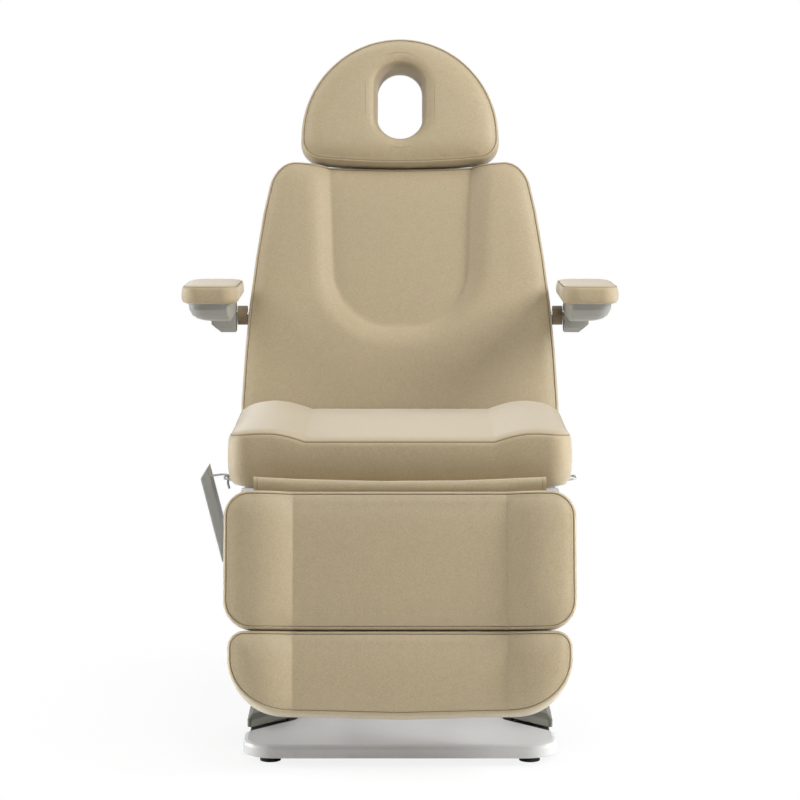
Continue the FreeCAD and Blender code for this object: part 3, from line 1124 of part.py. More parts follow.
def make_handset(parts):
    """Hand control with rocker keys, hung by a wire hook on the left loop of the seat."""
    def place(shape):
        turned = shape.copy()
        turned.rotate(ORIGIN, ALONG, -HANDSET_LEAN)
        turned.translate(V(HANDSET_X, HOOK_Y, HANDSET_Z))
        return turned

    half = HANDSET_THICKNESS / 2
    half_y = HANDSET_WIDTH / 2
    profile = [V(-half, 0, 0), V(half, 0, 0), V(half, 0, HANDSET_LENGTH),
               V(-half, 0, HANDSET_LENGTH - HANDSET_BEVEL)]
    face = Part.Face(Part.makePolygon(profile + profile[:1]))
    whole = face.extrude(ALONG * HANDSET_WIDTH)
    whole.translate(V(0, -half_y, 0))
    side_edges = [e for e in whole.Edges if abs(e.Vertexes[0].X - e.Vertexes[1].X) < 1e-6
                  and abs(e.Vertexes[0].Y - e.Vertexes[1].Y) < 1e-6]
    whole = whole.makeFillet(HANDSET_EDGE, side_edges)
    split = -HANDSET_THICKNESS / 20
    room = HANDSET_LENGTH
    front = whole.common(block(-room, split, -room, room, -OVERCUT, room + OVERCUT))
    back = whole.common(block(split, room, -room, room, -OVERCUT, room + OVERCUT))
    floor = -half + KEY_DEPTH
    for n in range(KEY_COUNT):
        z = KEY_FIRST_HEIGHT + n * KEY_PITCH
        well = block(-half - OVERCUT, floor + SLIDE_FIT + KEY_STEM_RADIUS, -KEY_WIDTH / 2 - KEY_FIT,
                     KEY_WIDTH / 2 + KEY_FIT, z - KEY_HEIGHT / 2 - KEY_FIT, z + KEY_HEIGHT / 2 + KEY_FIT)
        front = front.cut(well)
        key = block(-half - KEY_PROUD, floor, -KEY_WIDTH / 2, KEY_WIDTH / 2, z - KEY_HEIGHT / 2,
                    z + KEY_HEIGHT / 2)
        key = key.cut(side_relief(floor, z))
        stem = bar(V(floor, 0, z - KEY_HEIGHT / 2), V(floor, 0, z + KEY_HEIGHT / 2), KEY_STEM_RADIUS)
        parts["handset_key_%d" % (n + 1)] = place(key.fuse(stem).removeSplitter())
    parts["handset_front"] = place(front)
    parts["handset_back"] = place(back)

    loop_x = -RAIL_OUTSIDE - LOOP_REACH
    loop_z = SEAT_UNDERSIDE - LOOP_LEG_DROP + LOOP_RISE
    lean = FreeCAD.Rotation(ALONG, -HANDSET_LEAN)
    root = lean.multVec(V(half, 0, HOOK_ROOT_HEIGHT)) + V(HANDSET_X, HOOK_Y, HANDSET_Z)
    over = loop_z + 2 * WIRE_RADIUS + SLIDE_FIT
    tail_x = loop_x + HOOK_TAIL_GAP
    knee_z = over - HOOK_TAIL + 3 * HOOK_TAIL_GAP / 2
    points = [root, V(loop_x - 2 * WIRE_RADIUS, HOOK_Y, over + WIRE_RADIUS / 2), V(tail_x, HOOK_Y, over),
              V(tail_x - WIRE_RADIUS / 2, HOOK_Y, knee_z),
              V(tail_x + HOOK_TAIL_KICK, HOOK_Y, over - HOOK_TAIL)]
    parts["handset_hook"] = wire_path(points, WIRE_RADIUS, 1.5 * WIRE_RADIUS)


def side_relief(floor, z):
    """Room under both ends of a rocker key, so that it can tip."""
    depth = KEY_DEPTH / 2
    left = block(floor - depth, floor + OVERCUT, -KEY_WIDTH, -KEY_STEM_HALF, z - KEY_HEIGHT, z + KEY_HEIGHT)
    right = block(floor - depth, floor + OVERCUT, KEY_STEM_HALF, KEY_WIDTH, z - KEY_HEIGHT, z + KEY_HEIGHT)
    return left.fuse(right)


def main():
    """Make every piece and write one file for each."""
    parts = {}
    make_base(parts)
    make_pedals(parts)
    make_column(parts)
    make_seat(parts)
    make_actuator(parts, "leg", -ACTUATOR_X, LEG_PIVOT, LEG_CRANK_LENGTH, LEG_REST_ANGLE, -1,
                  (FRONT_CROSSBAR_Y, TILT_Y))
    make_actuator(parts, "back", ACTUATOR_X, BACK_PIVOT, BACK_CRANK_LENGTH, BACK_REST_ANGLE, 1,
                  (TILT_Y, REAR_CROSSBAR_Y))
    make_leg(parts)
    make_back(parts)
    make_head(parts)
    make_armrest(parts)
    make_handset(parts)
    os.makedirs("parts", exist_ok=True)
    for name, shape in parts.items():
        shape.exportStep(os.path.join("parts", name + ".step"))
    print(len(parts), "pieces written")


main()
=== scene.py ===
# %% [markdown]
# # A powered treatment chair
# The chair is a stack of padded sections on a welded frame. Five upholstered pads make the
# mattress, and everything that carries or moves them is metal or moulded plastic. The frame is
# already built to size, so this lesson adds what a frame lacks: the padded skins with their
# seams and stitches, and the materials of every piece.

# %% Load the frame
import json
import math
import bmesh
import bpy
import numpy as np
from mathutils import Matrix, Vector


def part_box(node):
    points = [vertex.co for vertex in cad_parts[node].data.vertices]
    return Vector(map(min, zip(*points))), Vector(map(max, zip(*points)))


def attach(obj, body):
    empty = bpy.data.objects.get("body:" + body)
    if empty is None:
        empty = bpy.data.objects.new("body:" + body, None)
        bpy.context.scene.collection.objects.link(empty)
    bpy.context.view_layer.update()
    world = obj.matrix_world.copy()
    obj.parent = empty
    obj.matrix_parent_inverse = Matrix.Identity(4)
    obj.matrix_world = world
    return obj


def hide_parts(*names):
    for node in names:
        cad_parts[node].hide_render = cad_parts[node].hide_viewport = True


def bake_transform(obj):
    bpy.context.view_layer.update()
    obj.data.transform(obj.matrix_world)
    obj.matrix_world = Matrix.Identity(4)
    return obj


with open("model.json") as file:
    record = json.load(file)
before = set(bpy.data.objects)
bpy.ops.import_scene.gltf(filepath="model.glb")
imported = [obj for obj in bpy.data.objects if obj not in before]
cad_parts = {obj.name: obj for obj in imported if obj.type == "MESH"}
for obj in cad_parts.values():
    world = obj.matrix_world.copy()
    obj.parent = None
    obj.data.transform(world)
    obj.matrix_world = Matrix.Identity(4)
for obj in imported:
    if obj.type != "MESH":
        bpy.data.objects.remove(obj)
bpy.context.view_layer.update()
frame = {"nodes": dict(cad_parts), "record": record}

nodes = frame["nodes"]

# %% [markdown]
# ## Shader values
# A material here is a sum of small patterns: clouds of colour, grain, specks. It could be wired
# node by node, but a page of links hides the idea. One small class lets the patterns be added and
# multiplied like numbers, and one method makes any other node.


# %% Arithmetic on shader sockets
class Value:
    """A number or colour on its way through a material's nodes."""

    def __init__(self, paint, socket):
        self.paint = paint
        self.socket = socket

    def maths(self, operation, first, second):
        return self.paint.node("ShaderNodeMath", {0: first, 1: second}, operation=operation)

    def __add__(self, other):
        return self.maths("ADD", self, other)

    def __radd__(self, other):
        return self.maths("ADD", other, self)

    def __mul__(self, other):
        return self.maths("MULTIPLY", self, other)

    def __rmul__(self, other):
        return self.maths("MULTIPLY", other, self)


class Paint:
    """A material in the making."""

    def __init__(self, name, **constants):
        self.material = bpy.data.materials.new(name)
        self.material.use_nodes = True
        self.tree = self.material.node_tree
        self.shader = self.tree.nodes["Principled BSDF"]
        for socket, value in constants.items():
            self.shader.inputs[socket.replace("_", " ")].default_value = value
        self.place = self.node("ShaderNodeTexCoord", output="Object")

    def node(self, kind, inputs=None, output=0, **settings):
        """Any node, with its inputs linked or set, as the value of one of its outputs."""
        made = self.tree.nodes.new(kind)
        for key, value in settings.items():
            setattr(made, key, value)
        for key, value in (inputs or {}).items():
            self.join(made.inputs[key], value)
        return Value(self, made.outputs[output])

    def join(self, socket, value):
        if isinstance(value, Value):
            self.tree.links.new(value.socket, socket)
        else:
            socket.default_value = value

    def noise(self, scale, detail):
        return self.node("ShaderNodeTexNoise", {"Vector": self.place, "Scale": scale, "Detail": detail})

    def drawn_noise(self, stretch, scale, detail):
        """Noise drawn out along one axis, for brushed metal and wood grain."""
        stretched = self.node("ShaderNodeMapping", {"Vector": self.place, "Scale": stretch})
        return self.node("ShaderNodeTexNoise", {"Vector": stretched, "Scale": scale, "Detail": detail})

    def cells(self, scale):
        return self.node("ShaderNodeTexVoronoi", {"Vector": self.place, "Scale": scale})

    def mix(self, factor, first, second):
        return self.node("ShaderNodeMix", {"Factor": factor, 6: first, 7: second}, output=2,
                         data_type="RGBA", clamp_factor=True)

    def step(self, value, low, high):
        return self.node("ShaderNodeMapRange", {"Value": value, "From Min": low, "From Max": high},
                         interpolation_type="SMOOTHSTEP")

    def attribute(self, name):
        return self.node("ShaderNodeAttribute", output="Fac", attribute_name=name)

    def bump(self, height, strength, distance):
        normal = self.node("ShaderNodeBump", {"Height": height, "Strength": strength,
                                              "Distance": distance})
        self.join(self.shader.inputs["Normal"], normal)

    def colour(self, value):
        self.join(self.shader.inputs["Base Color"], value)

    def roughness(self, value):
        self.join(self.shader.inputs["Roughness"], value)


def tint(red, green, blue):
    return (red, green, blue, 1.0)


print("shader arithmetic ready")

# %% [markdown]
# ## Upholstery
# The pads wear coated cloth: smooth, a little sheen, a fine pressed grain, and a slightly uneven
# colour. A photographed texture would show its repeats on pads of this size, so clouds, blotches
# and specks of noise are added up instead. A number stored on the skin paints it darker: along a
# seam it stands for the seam line's own dark and painted shade in its groove, and inside the face
# hole for painted shade alone. Patterns lie in the piece's own space and move with it.

# %% Vinyl
VINYL_LIGHT = tint(0.478, 0.386, 0.239)
VINYL_DEEP = tint(0.405, 0.326, 0.198)
# Colour painted into the seam lines, their own dark with painted shade in the grooves, and painted shade
# inside the face hole, and how far it covers the skin there
VINYL_SEAM_AND_SHADE = tint(0.150, 0.080, 0.024)
SEAM_AND_SHADE_COVER = 0.9


def make_vinyl():
    paint = Paint("beige_vinyl", Specular_IOR_Level=0.5, Sheen_Weight=0.5, Sheen_Roughness=0.45)
    cloud = paint.noise(scale=5.0, detail=3.0)
    fine = paint.noise(scale=70.0, detail=3.0)
    speck = paint.noise(scale=420.0, detail=2.0)
    uneven = cloud * 0.12 + fine * 0.13 + speck * 0.75
    skin = paint.mix(paint.step(uneven, low=0.33, high=0.67), VINYL_DEEP, VINYL_LIGHT)
    paint.colour(paint.mix(paint.attribute("seam_and_shade") * SEAM_AND_SHADE_COVER, skin, VINYL_SEAM_AND_SHADE))
    pores = paint.cells(scale=620.0)
    weave = paint.noise(scale=1100.0, detail=2.0)
    paint.roughness(0.46 + 0.08 * cloud + 0.08 * weave)
    paint.bump(pores * 0.7 + weave * 0.5 + fine * 0.6, strength=0.16, distance=0.0009)
    return paint.material


VINYL = make_vinyl()
print("upholstery:", VINYL.name)

# %% [markdown]
# ## Thread
# The seams are sewn with a brown thread, darker than the cloth. Its twist is far too small to
# model, so a fine noise varies its colour and gloss.


# %% Thread
def make_thread():
    paint = Paint("thread", Specular_IOR_Level=0.1)
    twist = paint.noise(scale=900.0, detail=2.0)
    paint.colour(paint.mix(twist, tint(0.085, 0.050, 0.018), tint(0.150, 0.095, 0.040)))
    paint.roughness(0.62 + 0.2 * twist)
    return paint.material


THREAD = make_thread()
print("thread:", THREAD.name)

# %% [markdown]
# ## Plastics and rubber
# Covers, shells, pedals and feet are moulded, and a mould leaves a fine even texture. They differ
# only in colour, gloss and the size of that texture, so one function makes them all.


# %% Plastics and rubber
def make_plastic(name, light, deep, rough, grain, depth):
    paint = Paint(name, Specular_IOR_Level=0.45)
    cloud = paint.noise(scale=9.0, detail=3.0)
    speck = paint.noise(scale=grain, detail=2.0)
    uneven = cloud * 0.6 + speck * 0.4
    paint.colour(paint.mix(paint.step(uneven, low=0.3, high=0.7), deep, light))
    paint.roughness(rough + 0.12 * speck)
    paint.bump(speck, strength=0.14, distance=depth)
    return paint.material


WHITE = make_plastic("white_cover", tint(0.66, 0.66, 0.655), tint(0.63, 0.63, 0.625),
                     rough=0.24, grain=420.0, depth=0.0003)
GREY = make_plastic("grey_plastic", tint(0.390, 0.390, 0.359), tint(0.360, 0.360, 0.331),
                    rough=0.40, grain=700.0, depth=0.0004)
PEDAL = make_plastic("pedal_plastic", tint(0.150, 0.150, 0.118), tint(0.120, 0.120, 0.095),
                     rough=0.36, grain=500.0, depth=0.0004)
TAN = make_plastic("tan_plastic", tint(0.25, 0.185, 0.105), tint(0.21, 0.155, 0.085),
                   rough=0.45, grain=600.0, depth=0.0004)
BLACK = make_plastic("black_plastic", tint(0.030, 0.030, 0.030), tint(0.020, 0.020, 0.020),
                     rough=0.45, grain=620.0, depth=0.0005)
RUBBER = make_plastic("black_rubber", tint(0.022, 0.022, 0.022), tint(0.014, 0.014, 0.014),
                      rough=0.72, grain=300.0, depth=0.0008)
MOTOR = make_plastic("actuator_plastic", tint(0.075, 0.075, 0.080), tint(0.055, 0.055, 0.060),
                     rough=0.36, grain=500.0, depth=0.0004)
KEYS = make_plastic("key_plastic", tint(0.21, 0.22, 0.24), tint(0.17, 0.18, 0.20),
                    rough=0.5, grain=700.0, depth=0.0004)
print("plastics:", [plastic.name for plastic in (WHITE, GREY, PEDAL, TAN, BLACK, RUBBER, MOTOR, KEYS)])

# %% [markdown]
# ## Steel and wood
# The frame is powder-coated, which leaves a faint orange peel; a bump of low noise gives it. Rods
# and bolts are bright, with scratches along their length, and the pads' boards are plywood. Both
# are noise stretched along one axis, because a drawing die and a tree each work in one direction.


# %% Steel and wood
def make_painted_steel():
    paint = Paint("frame_paint", Specular_IOR_Level=0.5)
    cloud = paint.noise(scale=7.0, detail=3.0)
    peel = paint.noise(scale=340.0, detail=1.0)
    paint.colour(paint.mix(cloud, tint(0.55, 0.57, 0.61), tint(0.60, 0.62, 0.65)))
    paint.roughness(0.30 + 0.12 * peel)
    paint.bump(peel, strength=0.12, distance=0.0006)
    return paint.material


def make_bright_steel():
    paint = Paint("bright_steel", Metallic=1.0)
    drawn = paint.drawn_noise(stretch=(400.0, 30.0, 400.0), scale=1.0, detail=2.0)
    paint.colour(paint.mix(drawn, tint(0.48, 0.48, 0.48), tint(0.66, 0.66, 0.66)))
    paint.roughness(0.24 + 0.16 * drawn)
    return paint.material


def make_plywood():
    paint = Paint("plywood", Specular_IOR_Level=0.3)
    grain = paint.drawn_noise(stretch=(3.0, 34.0, 34.0), scale=1.6, detail=6.0)
    paint.colour(paint.mix(grain, tint(0.36, 0.23, 0.11), tint(0.58, 0.42, 0.24)))
    paint.roughness(0.55 + 0.2 * grain)
    paint.bump(grain, strength=0.1, distance=0.0008)
    return paint.material


FRAME_PAINT = make_painted_steel()
STEEL = make_bright_steel()
WOOD = make_plywood()
print("metal and wood:", FRAME_PAINT.name, STEEL.name, WOOD.name)

# %% [markdown]
# ## Dressing the frame
# Every piece of the frame names what it is made of, so a loop can dress them all. Edges sharper
# than a limit stay crisp and the rest are smoothed. The boards are flat sheets, so they are shaded
# flat.

# %% Materials of the frame's pieces
SLOT_PAINT = {"upholstery": VINYL, "plywood": WOOD, "white_cover": WHITE, "frame_paint": FRAME_PAINT,
              "bright_steel": STEEL, "black_rubber": RUBBER, "black_plastic": BLACK,
              "actuator_plastic": MOTOR, "grey_plastic": GREY, "tan_plastic": TAN, "key_plastic": KEYS,
              "pedal_plastic": PEDAL}
SHARP_ANGLE = math.radians(32)
for part in frame["record"]["subparts"]:
    mesh = nodes[part["node"]].data
    mesh.materials.clear()
    mesh.materials.append(SLOT_PAINT[part["material_slot"]])
    mesh.shade_smooth()
    mesh.set_sharp_from_angle(angle=SHARP_ANGLE)
    if part["material_slot"] == "plywood":
        mesh.shade_flat()

# %% [markdown]
# ## How a pad is drawn
# Each pad is foam on a board, under a skin that is sewn from a front panel and a side band. A
# subdivided box would round the creases away, so the panel is a grid in the pad's own flat frame
# (x across, s along, h out of the pad), and a crease along the pad falls on a line of the grid.
# Its corners are rounded by the map that turns the corner of a square into a quarter disc.


# %% Flat frames of the sections
class Section:
    """A flat frame hinged about a line across the chair."""

    def __init__(self, hinge_y, hinge_z, degrees):
        self.y = hinge_y
        self.z = hinge_z
        self.cos = math.cos(math.radians(degrees))
        self.sin = math.sin(math.radians(degrees))

    def place(self, flat):
        """World points of an array of flat points (x, s, h)."""
        x, s, h = flat[:, 0], flat[:, 1], flat[:, 2]
        return np.column_stack((x, self.y + s * self.cos - h * self.sin,
                                self.z + s * self.sin + h * self.cos))


BACK = Section(hinge_y=0.205165, hinge_z=0.487, degrees=70.0)
LEG = Section(hinge_y=-0.336, hinge_z=0.487, degrees=76.0)
LEVEL = Section(hinge_y=0.0, hinge_z=0.0, degrees=0.0)
print("backrest hinge at", BACK.y, BACK.z, "and leg rest hinge at", LEG.y, LEG.z)

# %% Grid with rounded corners
# The panel's rim lies this far inside the pad's silhouette
RIM_INSET = 0.0105
# A line of the grid that would come closer than this to the one before is left out
LEAST_STEP = 0.0011


def spread(low, high, step, extra=()):
    """Values from low to high about a step apart, with a few more where a crease needs them."""
    count = max(2, round((high - low) / step))
    values = np.concatenate((np.linspace(low, high, count + 1), np.array(extra, float)))
    values = np.sort(values[(values >= low) & (values <= high)])
    keep = [values[0]]
    for value in values[1:]:
        if value - keep[-1] > LEAST_STEP:
            keep.append(value)
    keep[-1] = high
    return np.array(keep)


def round_corner(x, s, half, edge, radius, way):
    """Pull the grid's corners at one end into quarter discs."""
    a = np.clip((np.abs(x) - (half - radius)) / radius, 0.0, 1.0)
    b = np.clip(((s - edge) * way + radius) / radius, 0.0, 1.0)
    inside = (a > 0.0) & (b > 0.0)
    new_x = half - radius + radius * a * np.sqrt(1.0 - b * b / 2.0)
    new_s = edge - way * radius + way * radius * b * np.sqrt(1.0 - a * a / 2.0)
    return np.where(inside, np.sign(x) * new_x, x), np.where(inside, new_s, s)


def panel_grid(half, ends, corners, step, creases=(), width=None, inset=RIM_INSET):
    """Front panel as points (x, s), with the loop of its rim, counter-clockwise, and its faces."""
    half = half - inset
    low = ends[0] + inset
    high = ends[1] - inset
    columns = spread(-half, half, step, creases)
    rows = spread(low, high, step)
    x, s = np.meshgrid(columns, rows)
    x, s = round_corner(x, s, half, low, corners[0], -1.0)
    x, s = round_corner(x, s, half, high, corners[1], 1.0)
    if width is not None:
        x = x * width(s) / half
    index = np.arange(x.size).reshape(x.shape)
    rim = np.concatenate((index[0, :-1], index[:-1, -1], index[-1, :0:-1], index[:0:-1, 0]))
    faces = np.stack((index[:-1, :-1], index[:-1, 1:], index[1:, 1:], index[1:, :-1]), axis=-1)
    return np.column_stack((x.ravel(), s.ravel())), rim, faces.reshape(-1, 4)


print("panels start", RIM_INSET, "m inside a pad's outline")

# %% Measuring along and from a rim
BATCH = 2000


def outward(loop):
    """Unit normals of a counter-clockwise loop of points, pointing out of it."""
    along = np.roll(loop, -1, axis=0) - np.roll(loop, 1, axis=0)
    along /= np.linalg.norm(along, axis=1)[:, None]
    return np.column_stack((along[:, 1], -along[:, 0]))


def run_along(loop):
    """Length along a closed line up to each of its points."""
    gaps = np.linalg.norm(np.roll(loop, -1, axis=0) - loop, axis=1)
    return np.concatenate(((0.0,), np.cumsum(gaps)[:-1]))


def rim_distance(points, loop):
    """Distance of each point from the loop, and the length along the loop to its nearest point."""
    nearest = np.zeros(len(points), int)
    distance = np.zeros(len(points))
    for start in range(0, len(points), BATCH):
        batch = slice(start, start + BATCH)
        gaps = np.linalg.norm(points[batch, None, :] - loop[None, :, :], axis=2)
        nearest[batch] = gaps.argmin(axis=1)
        distance[batch] = gaps.min(axis=1)
    return distance, run_along(loop)[nearest]


def smooth(value, low, high):
    t = np.clip((value - low) / (high - low), 0.0, 1.0)
    return t * t * (3.0 - 2.0 * t)


print("distances are measured", BATCH, "points at a time")

# %% [markdown]
# ## From panel to closed skin
# The seam between panel and band is a groove with a lip on each side, a few millimetres in from
# the pad's silhouette. A bump map could hint at it, but the groove shows in the outline, so rings
# of points carry the skin over the lips, down the band and under the board. Foam pushes the skin
# out between seams and the thread pulls it in, so small gathers run inwards from every seam.

# %% Rings over the seam and down the band
# Over the seam: distance outside the panel's rim, drop below it, and darkness painted on the seam line, its
# own dark with painted shade in the groove
SEAM_RINGS = ((0.0018, 0.0005, 0.0), (0.0030, 0.0011, 0.05), (0.0037, 0.0029, 0.4),
              (0.0041, 0.0029, 0.7), (0.0048, 0.0015, 0.05), (0.0066, 0.0022, 0.0),
              (0.0083, 0.0048, 0.0), (0.0096, 0.0095, 0.0))
# The same for a pad that lies flat: its seam is on the side, just under the edge
EDGE_RINGS = ((0.0028, 0.0014, 0.0), (0.0049, 0.0032, 0.05), (0.0050, 0.0043, 0.5),
              (0.0051, 0.0050, 0.6), (0.0068, 0.0058, 0.05), (0.0084, 0.0086, 0.0),
              (0.0097, 0.0140, 0.0))
# Down the band: distance outside the rim, and share of the height that is left
BAND_RINGS = ((0.0104, 0.76), (0.0107, 0.52), (0.0101, 0.30), (0.0080, 0.13), (0.0030, 0.035),
              (-0.0080, 0.0))
# The band swells and shrinks a little along its run
SWELL = 0.0003
SWELL_PITCH = 0.083


def skirt(loop, edge, floor, band, rings_over=SEAM_RINGS):
    """Rings of (x, s, h) and the darkness painted on them, from a panel's rim over the seam and down the
    band.
    """
    normal = outward(loop)
    count = len(loop)
    rings = []
    for out, drop, shade in rings_over:
        rings.append((np.column_stack((loop + normal * out, edge - drop)), np.full(count, shade)))
    last_drop = rings_over[-1][1]
    swell = np.sin(run_along(loop) * 2 * math.pi / SWELL_PITCH)
    for out, share in band:
        level = floor + (edge - last_drop - floor) * share
        bulge = out + SWELL * swell * share
        rings.append((np.column_stack((loop + normal * bulge[:, None], level)), np.zeros(count)))
    return rings


def ring_faces(rings):
    """Quads between each ring of point numbers and the next."""
    faces = []
    for inner, outer in zip(rings[:-1], rings[1:]):
        for i in range(len(inner)):
            j = (i + 1) % len(inner)
            faces.append((inner[i], outer[i], outer[j], inner[j]))
    return faces


print("rings over a seam:", len(SEAM_RINGS), "and down a band:", len(BAND_RINGS))

# %% Gathers
GATHER = 0.0004
GATHER_PITCH = 0.031
GATHER_REACH = 0.020
GATHER_ONSET = 0.003
# Three waves make the gathers uneven: share, length in pitches, and shift
GATHER_WAVES = ((1.0, 1.0, 0.0), (0.7, 1.73, 1.3), (0.5, 0.61, 2.1))
# A slow wave lets them come and go along the seam: its length in pitches
GATHER_SWING = 9.3


def pucker(distance, run, size):
    """Small gathers that run in from a seam, of uneven length."""
    wave = sum(share * np.sin(run * 2 * math.pi / (GATHER_PITCH * pitches) + shift)
               for share, pitches, shift in GATHER_WAVES)
    swing = 0.6 + 0.4 * np.sin(run * 2 * math.pi / (GATHER_PITCH * GATHER_SWING))
    fade = np.exp(-distance / GATHER_REACH) * (1.0 - np.exp(-distance / GATHER_ONSET))
    return size * wave * swing * fade


print("gathers about", GATHER_PITCH, "m apart")


# %% Mesh of a skin
def make_object(name, points, faces, seam_and_shade):
    """Upholstered mesh object from world points, with the darkness painted on its seams and into its hollows.
    """
    mesh = bpy.data.meshes.new(name)
    mesh.from_pydata([tuple(p) for p in points], [], [tuple(int(i) for i in f) for f in faces])
    mesh.materials.append(VINYL)
    layer = mesh.attributes.new("seam_and_shade", "FLOAT", "POINT")
    layer.data.foreach_set("value", np.asarray(seam_and_shade, np.float32))
    tidy = bmesh.new()
    tidy.from_mesh(mesh)
    bmesh.ops.recalc_face_normals(tidy, faces=tidy.faces)
    tidy.to_mesh(mesh)
    tidy.free()
    mesh.shade_smooth()
    made = bpy.data.objects.new(name, mesh)
    bpy.context.scene.collection.objects.link(made)
    return made


def upholster(made, body, node):
    """Hang a finished pad on the body that carries it and hide the frame's pad that it stands for."""
    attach(made, body)
    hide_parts(node)
    print(made.name, len(made.data.vertices), "points")


print("skins are covered in", VINYL.name)

# %% Closed pad
# Depth of the recess that holds the board, and how much its mouth is wider on each side
POCKET = 0.0125
POCKET_EDGE = 0.004
# Where the thread lies: outside the panel's rim and below it
SEAM_STITCH = (0.0041, 0.0026)
stitch_lines = {}


def seam_line(section, loop, edge, out, drop, warp=None):
    """World points of a line that follows a pad's seam."""
    flat = np.column_stack((loop + outward(loop) * out, edge - drop))
    return section.place(warp(flat) if warp else flat)


def make_pad(name, section, grid, floor, panel_height, board, crown, gather=GATHER, band=BAND_RINGS,
             warp=None, rings_over=SEAM_RINGS, stitch=SEAM_STITCH):
    """Closed skin of a pad: panel, seam, band, and the edge that turns under the board."""
    flat, rim, quads = grid
    loop = flat[rim]
    distance, run = rim_distance(flat, loop)
    drop, reach = crown
    height = panel_height(flat[:, 0], flat[:, 1]) - drop * np.exp(-distance / reach)
    height = height + pucker(distance, run, gather)
    edge = height[rim]
    layers = [(np.column_stack((flat, height)), np.zeros(len(flat)))]
    layers += skirt(loop, edge, floor, band, rings_over)
    count = len(rim)
    for inset, level in ((board - POCKET_EDGE, floor), (board, floor + POCKET)):
        turned = np.column_stack((loop - outward(loop) * inset, np.full(count, level)))
        layers.append((turned, np.zeros(count)))
    middle = loop.mean(axis=0)
    layers.append((np.array([[middle[0], middle[1], floor + POCKET]]), np.zeros(1)))
    points = np.concatenate([layer for layer, shade in layers])
    rings = [rim]
    start = len(flat)
    for layer, shade in layers[1:-1]:
        rings.append(np.arange(start, start + count))
        start += count
    faces = list(quads) + ring_faces(rings)
    for i in range(count):
        faces.append((rings[-1][i], start, rings[-1][(i + 1) % count]))
    if warp:
        points = warp(points)
    stitch_lines[name] = seam_line(section, loop, edge, *stitch, warp)
    seam_and_shade = np.concatenate([shade for layer, shade in layers])
    return make_object(name, section.place(points), faces, seam_and_shade)


print("boards are let in by", POCKET, "m")

# %% [markdown]
# ## Leg rest and foot rest
# Two bolsters run down the sides and the middle lies lower, so that legs stay put. The slope of a
# bolster ends in a crisp crease at the flat middle, so the grid has lines there. Towards the ends,
# where the skin is pulled to the seam, the crease softens.

# %% Leg pad
PAD_TOP = 0.113
PAD_STEP = 0.005
LEG_FLOOR = 0.025
LEG_BOARD = 0.0275
LEG_HALF = 0.3145
LEG_ENDS = (-0.2485, 0.0)
LEG_CORNERS = (0.042, 0.037)
FOOT_ENDS = (-0.3950, -0.2490)
LEG_CREASE = 0.191
LEG_CREST = 0.268
LEG_DEPTH = 0.0270
LEG_SLOPE = 2.3
LEG_CROWN = (0.0120, 0.021)
# The soft slope's start and end as shares of the crisp one, and how near an end it takes over
LEG_SOFT_SLOPE = (-0.25, 0.85)
LEG_SOFT_ENDS = (0.008, 0.034)
CREASE_HALF = 0.002
CREASES = [side * (LEG_CREASE + shift) for side in (-1, 1) for shift in (-CREASE_HALF, 0.0, CREASE_HALF)]


def leg_height(x, s):
    rise = np.clip((np.abs(x) - LEG_CREASE) / (LEG_CREST - LEG_CREASE), 0.0, 1.0)
    crisp = (1.0 - rise) ** LEG_SLOPE
    soft = 1.0 - smooth(rise, *LEG_SOFT_SLOPE)
    to_end = np.minimum.reduce([np.abs(s - end) for end in LEG_ENDS + FOOT_ENDS])
    near_end = 1.0 - smooth(to_end, *LEG_SOFT_ENDS)
    return PAD_TOP - LEG_DEPTH * (crisp + (soft - crisp) * near_end)


leg_grid = panel_grid(LEG_HALF, LEG_ENDS, LEG_CORNERS, PAD_STEP, CREASES)
leg_pad = make_pad("leg_pad", LEG, leg_grid, LEG_FLOOR, leg_height, LEG_BOARD, LEG_CROWN)
upholster(leg_pad, "leg", "leg_cushion")

# %% Foot pad
FOOT_HALF = 0.3065
FOOT_CORNERS = (0.088, 0.020)
FOOT_LEAN = 0.17
FOOT_LEAN_REACH = (0.300, 0.390)
FOOT_BOW = 0.0060
FOOT_BOW_REACH = (-0.1, 0.24)


def foot_lean(flat):
    """Bow the low end and let its band slope outwards towards the back."""
    share = smooth(-flat[:, 1], *FOOT_LEAN_REACH)
    bow = FOOT_BOW * smooth(np.abs(flat[:, 0]), *FOOT_BOW_REACH)
    shift = bow - FOOT_LEAN * (PAD_TOP - flat[:, 2])
    return np.column_stack((flat[:, 0], flat[:, 1] + shift * share, flat[:, 2]))


foot_grid = panel_grid(FOOT_HALF, FOOT_ENDS, FOOT_CORNERS, PAD_STEP, CREASES)
foot_pad = make_pad("foot_pad", LEG, foot_grid, LEG_FLOOR, leg_height, LEG_BOARD, LEG_CROWN, warp=foot_lean)
upholster(foot_pad, "foot", "foot_cushion")

# %% [markdown]
# ## Seat
# The seat is the thickest pad. Its sides rise into rounded bolsters, so the front seam runs in a
# shallow wave. Its rear end slopes under, because the backrest stands there. The slope could be cut
# with a plane, but a shear of the finished skin keeps the seam and the band whole.

# %% Seat pad
SEAT_TOP = 0.6045
SEAT_FLOOR = 0.497
SEAT_HALF = 0.3135
SEAT_FRONT = -0.335
SEAT_REAR = 0.123
SEAT_CORNERS = (0.034, 0.026)
SEAT_STEP = 0.0055
SEAT_DEPTH = 0.0150
SEAT_FLOOR_HALF = 0.172
SEAT_CREST = 0.243
SEAT_FALL_FRONT = 0.0075
SEAT_FALL_REAR = 0.0155
SEAT_FALL_END = -0.12
SEAT_BOARD = 0.0235
SEAT_CROWN = (0.0032, 0.008)
SEAT_STITCH = (0.0054, 0.0047)
SEAT_BAND = ((0.0106, 0.78), (0.0110, 0.56), (0.0104, 0.34), (0.0078, 0.16), (0.0010, 0.045),
             (-0.0120, 0.0))
UNDERCUT = math.tan(math.radians(24.0))
UNDERCUT_REACH = (-0.02, 0.09)


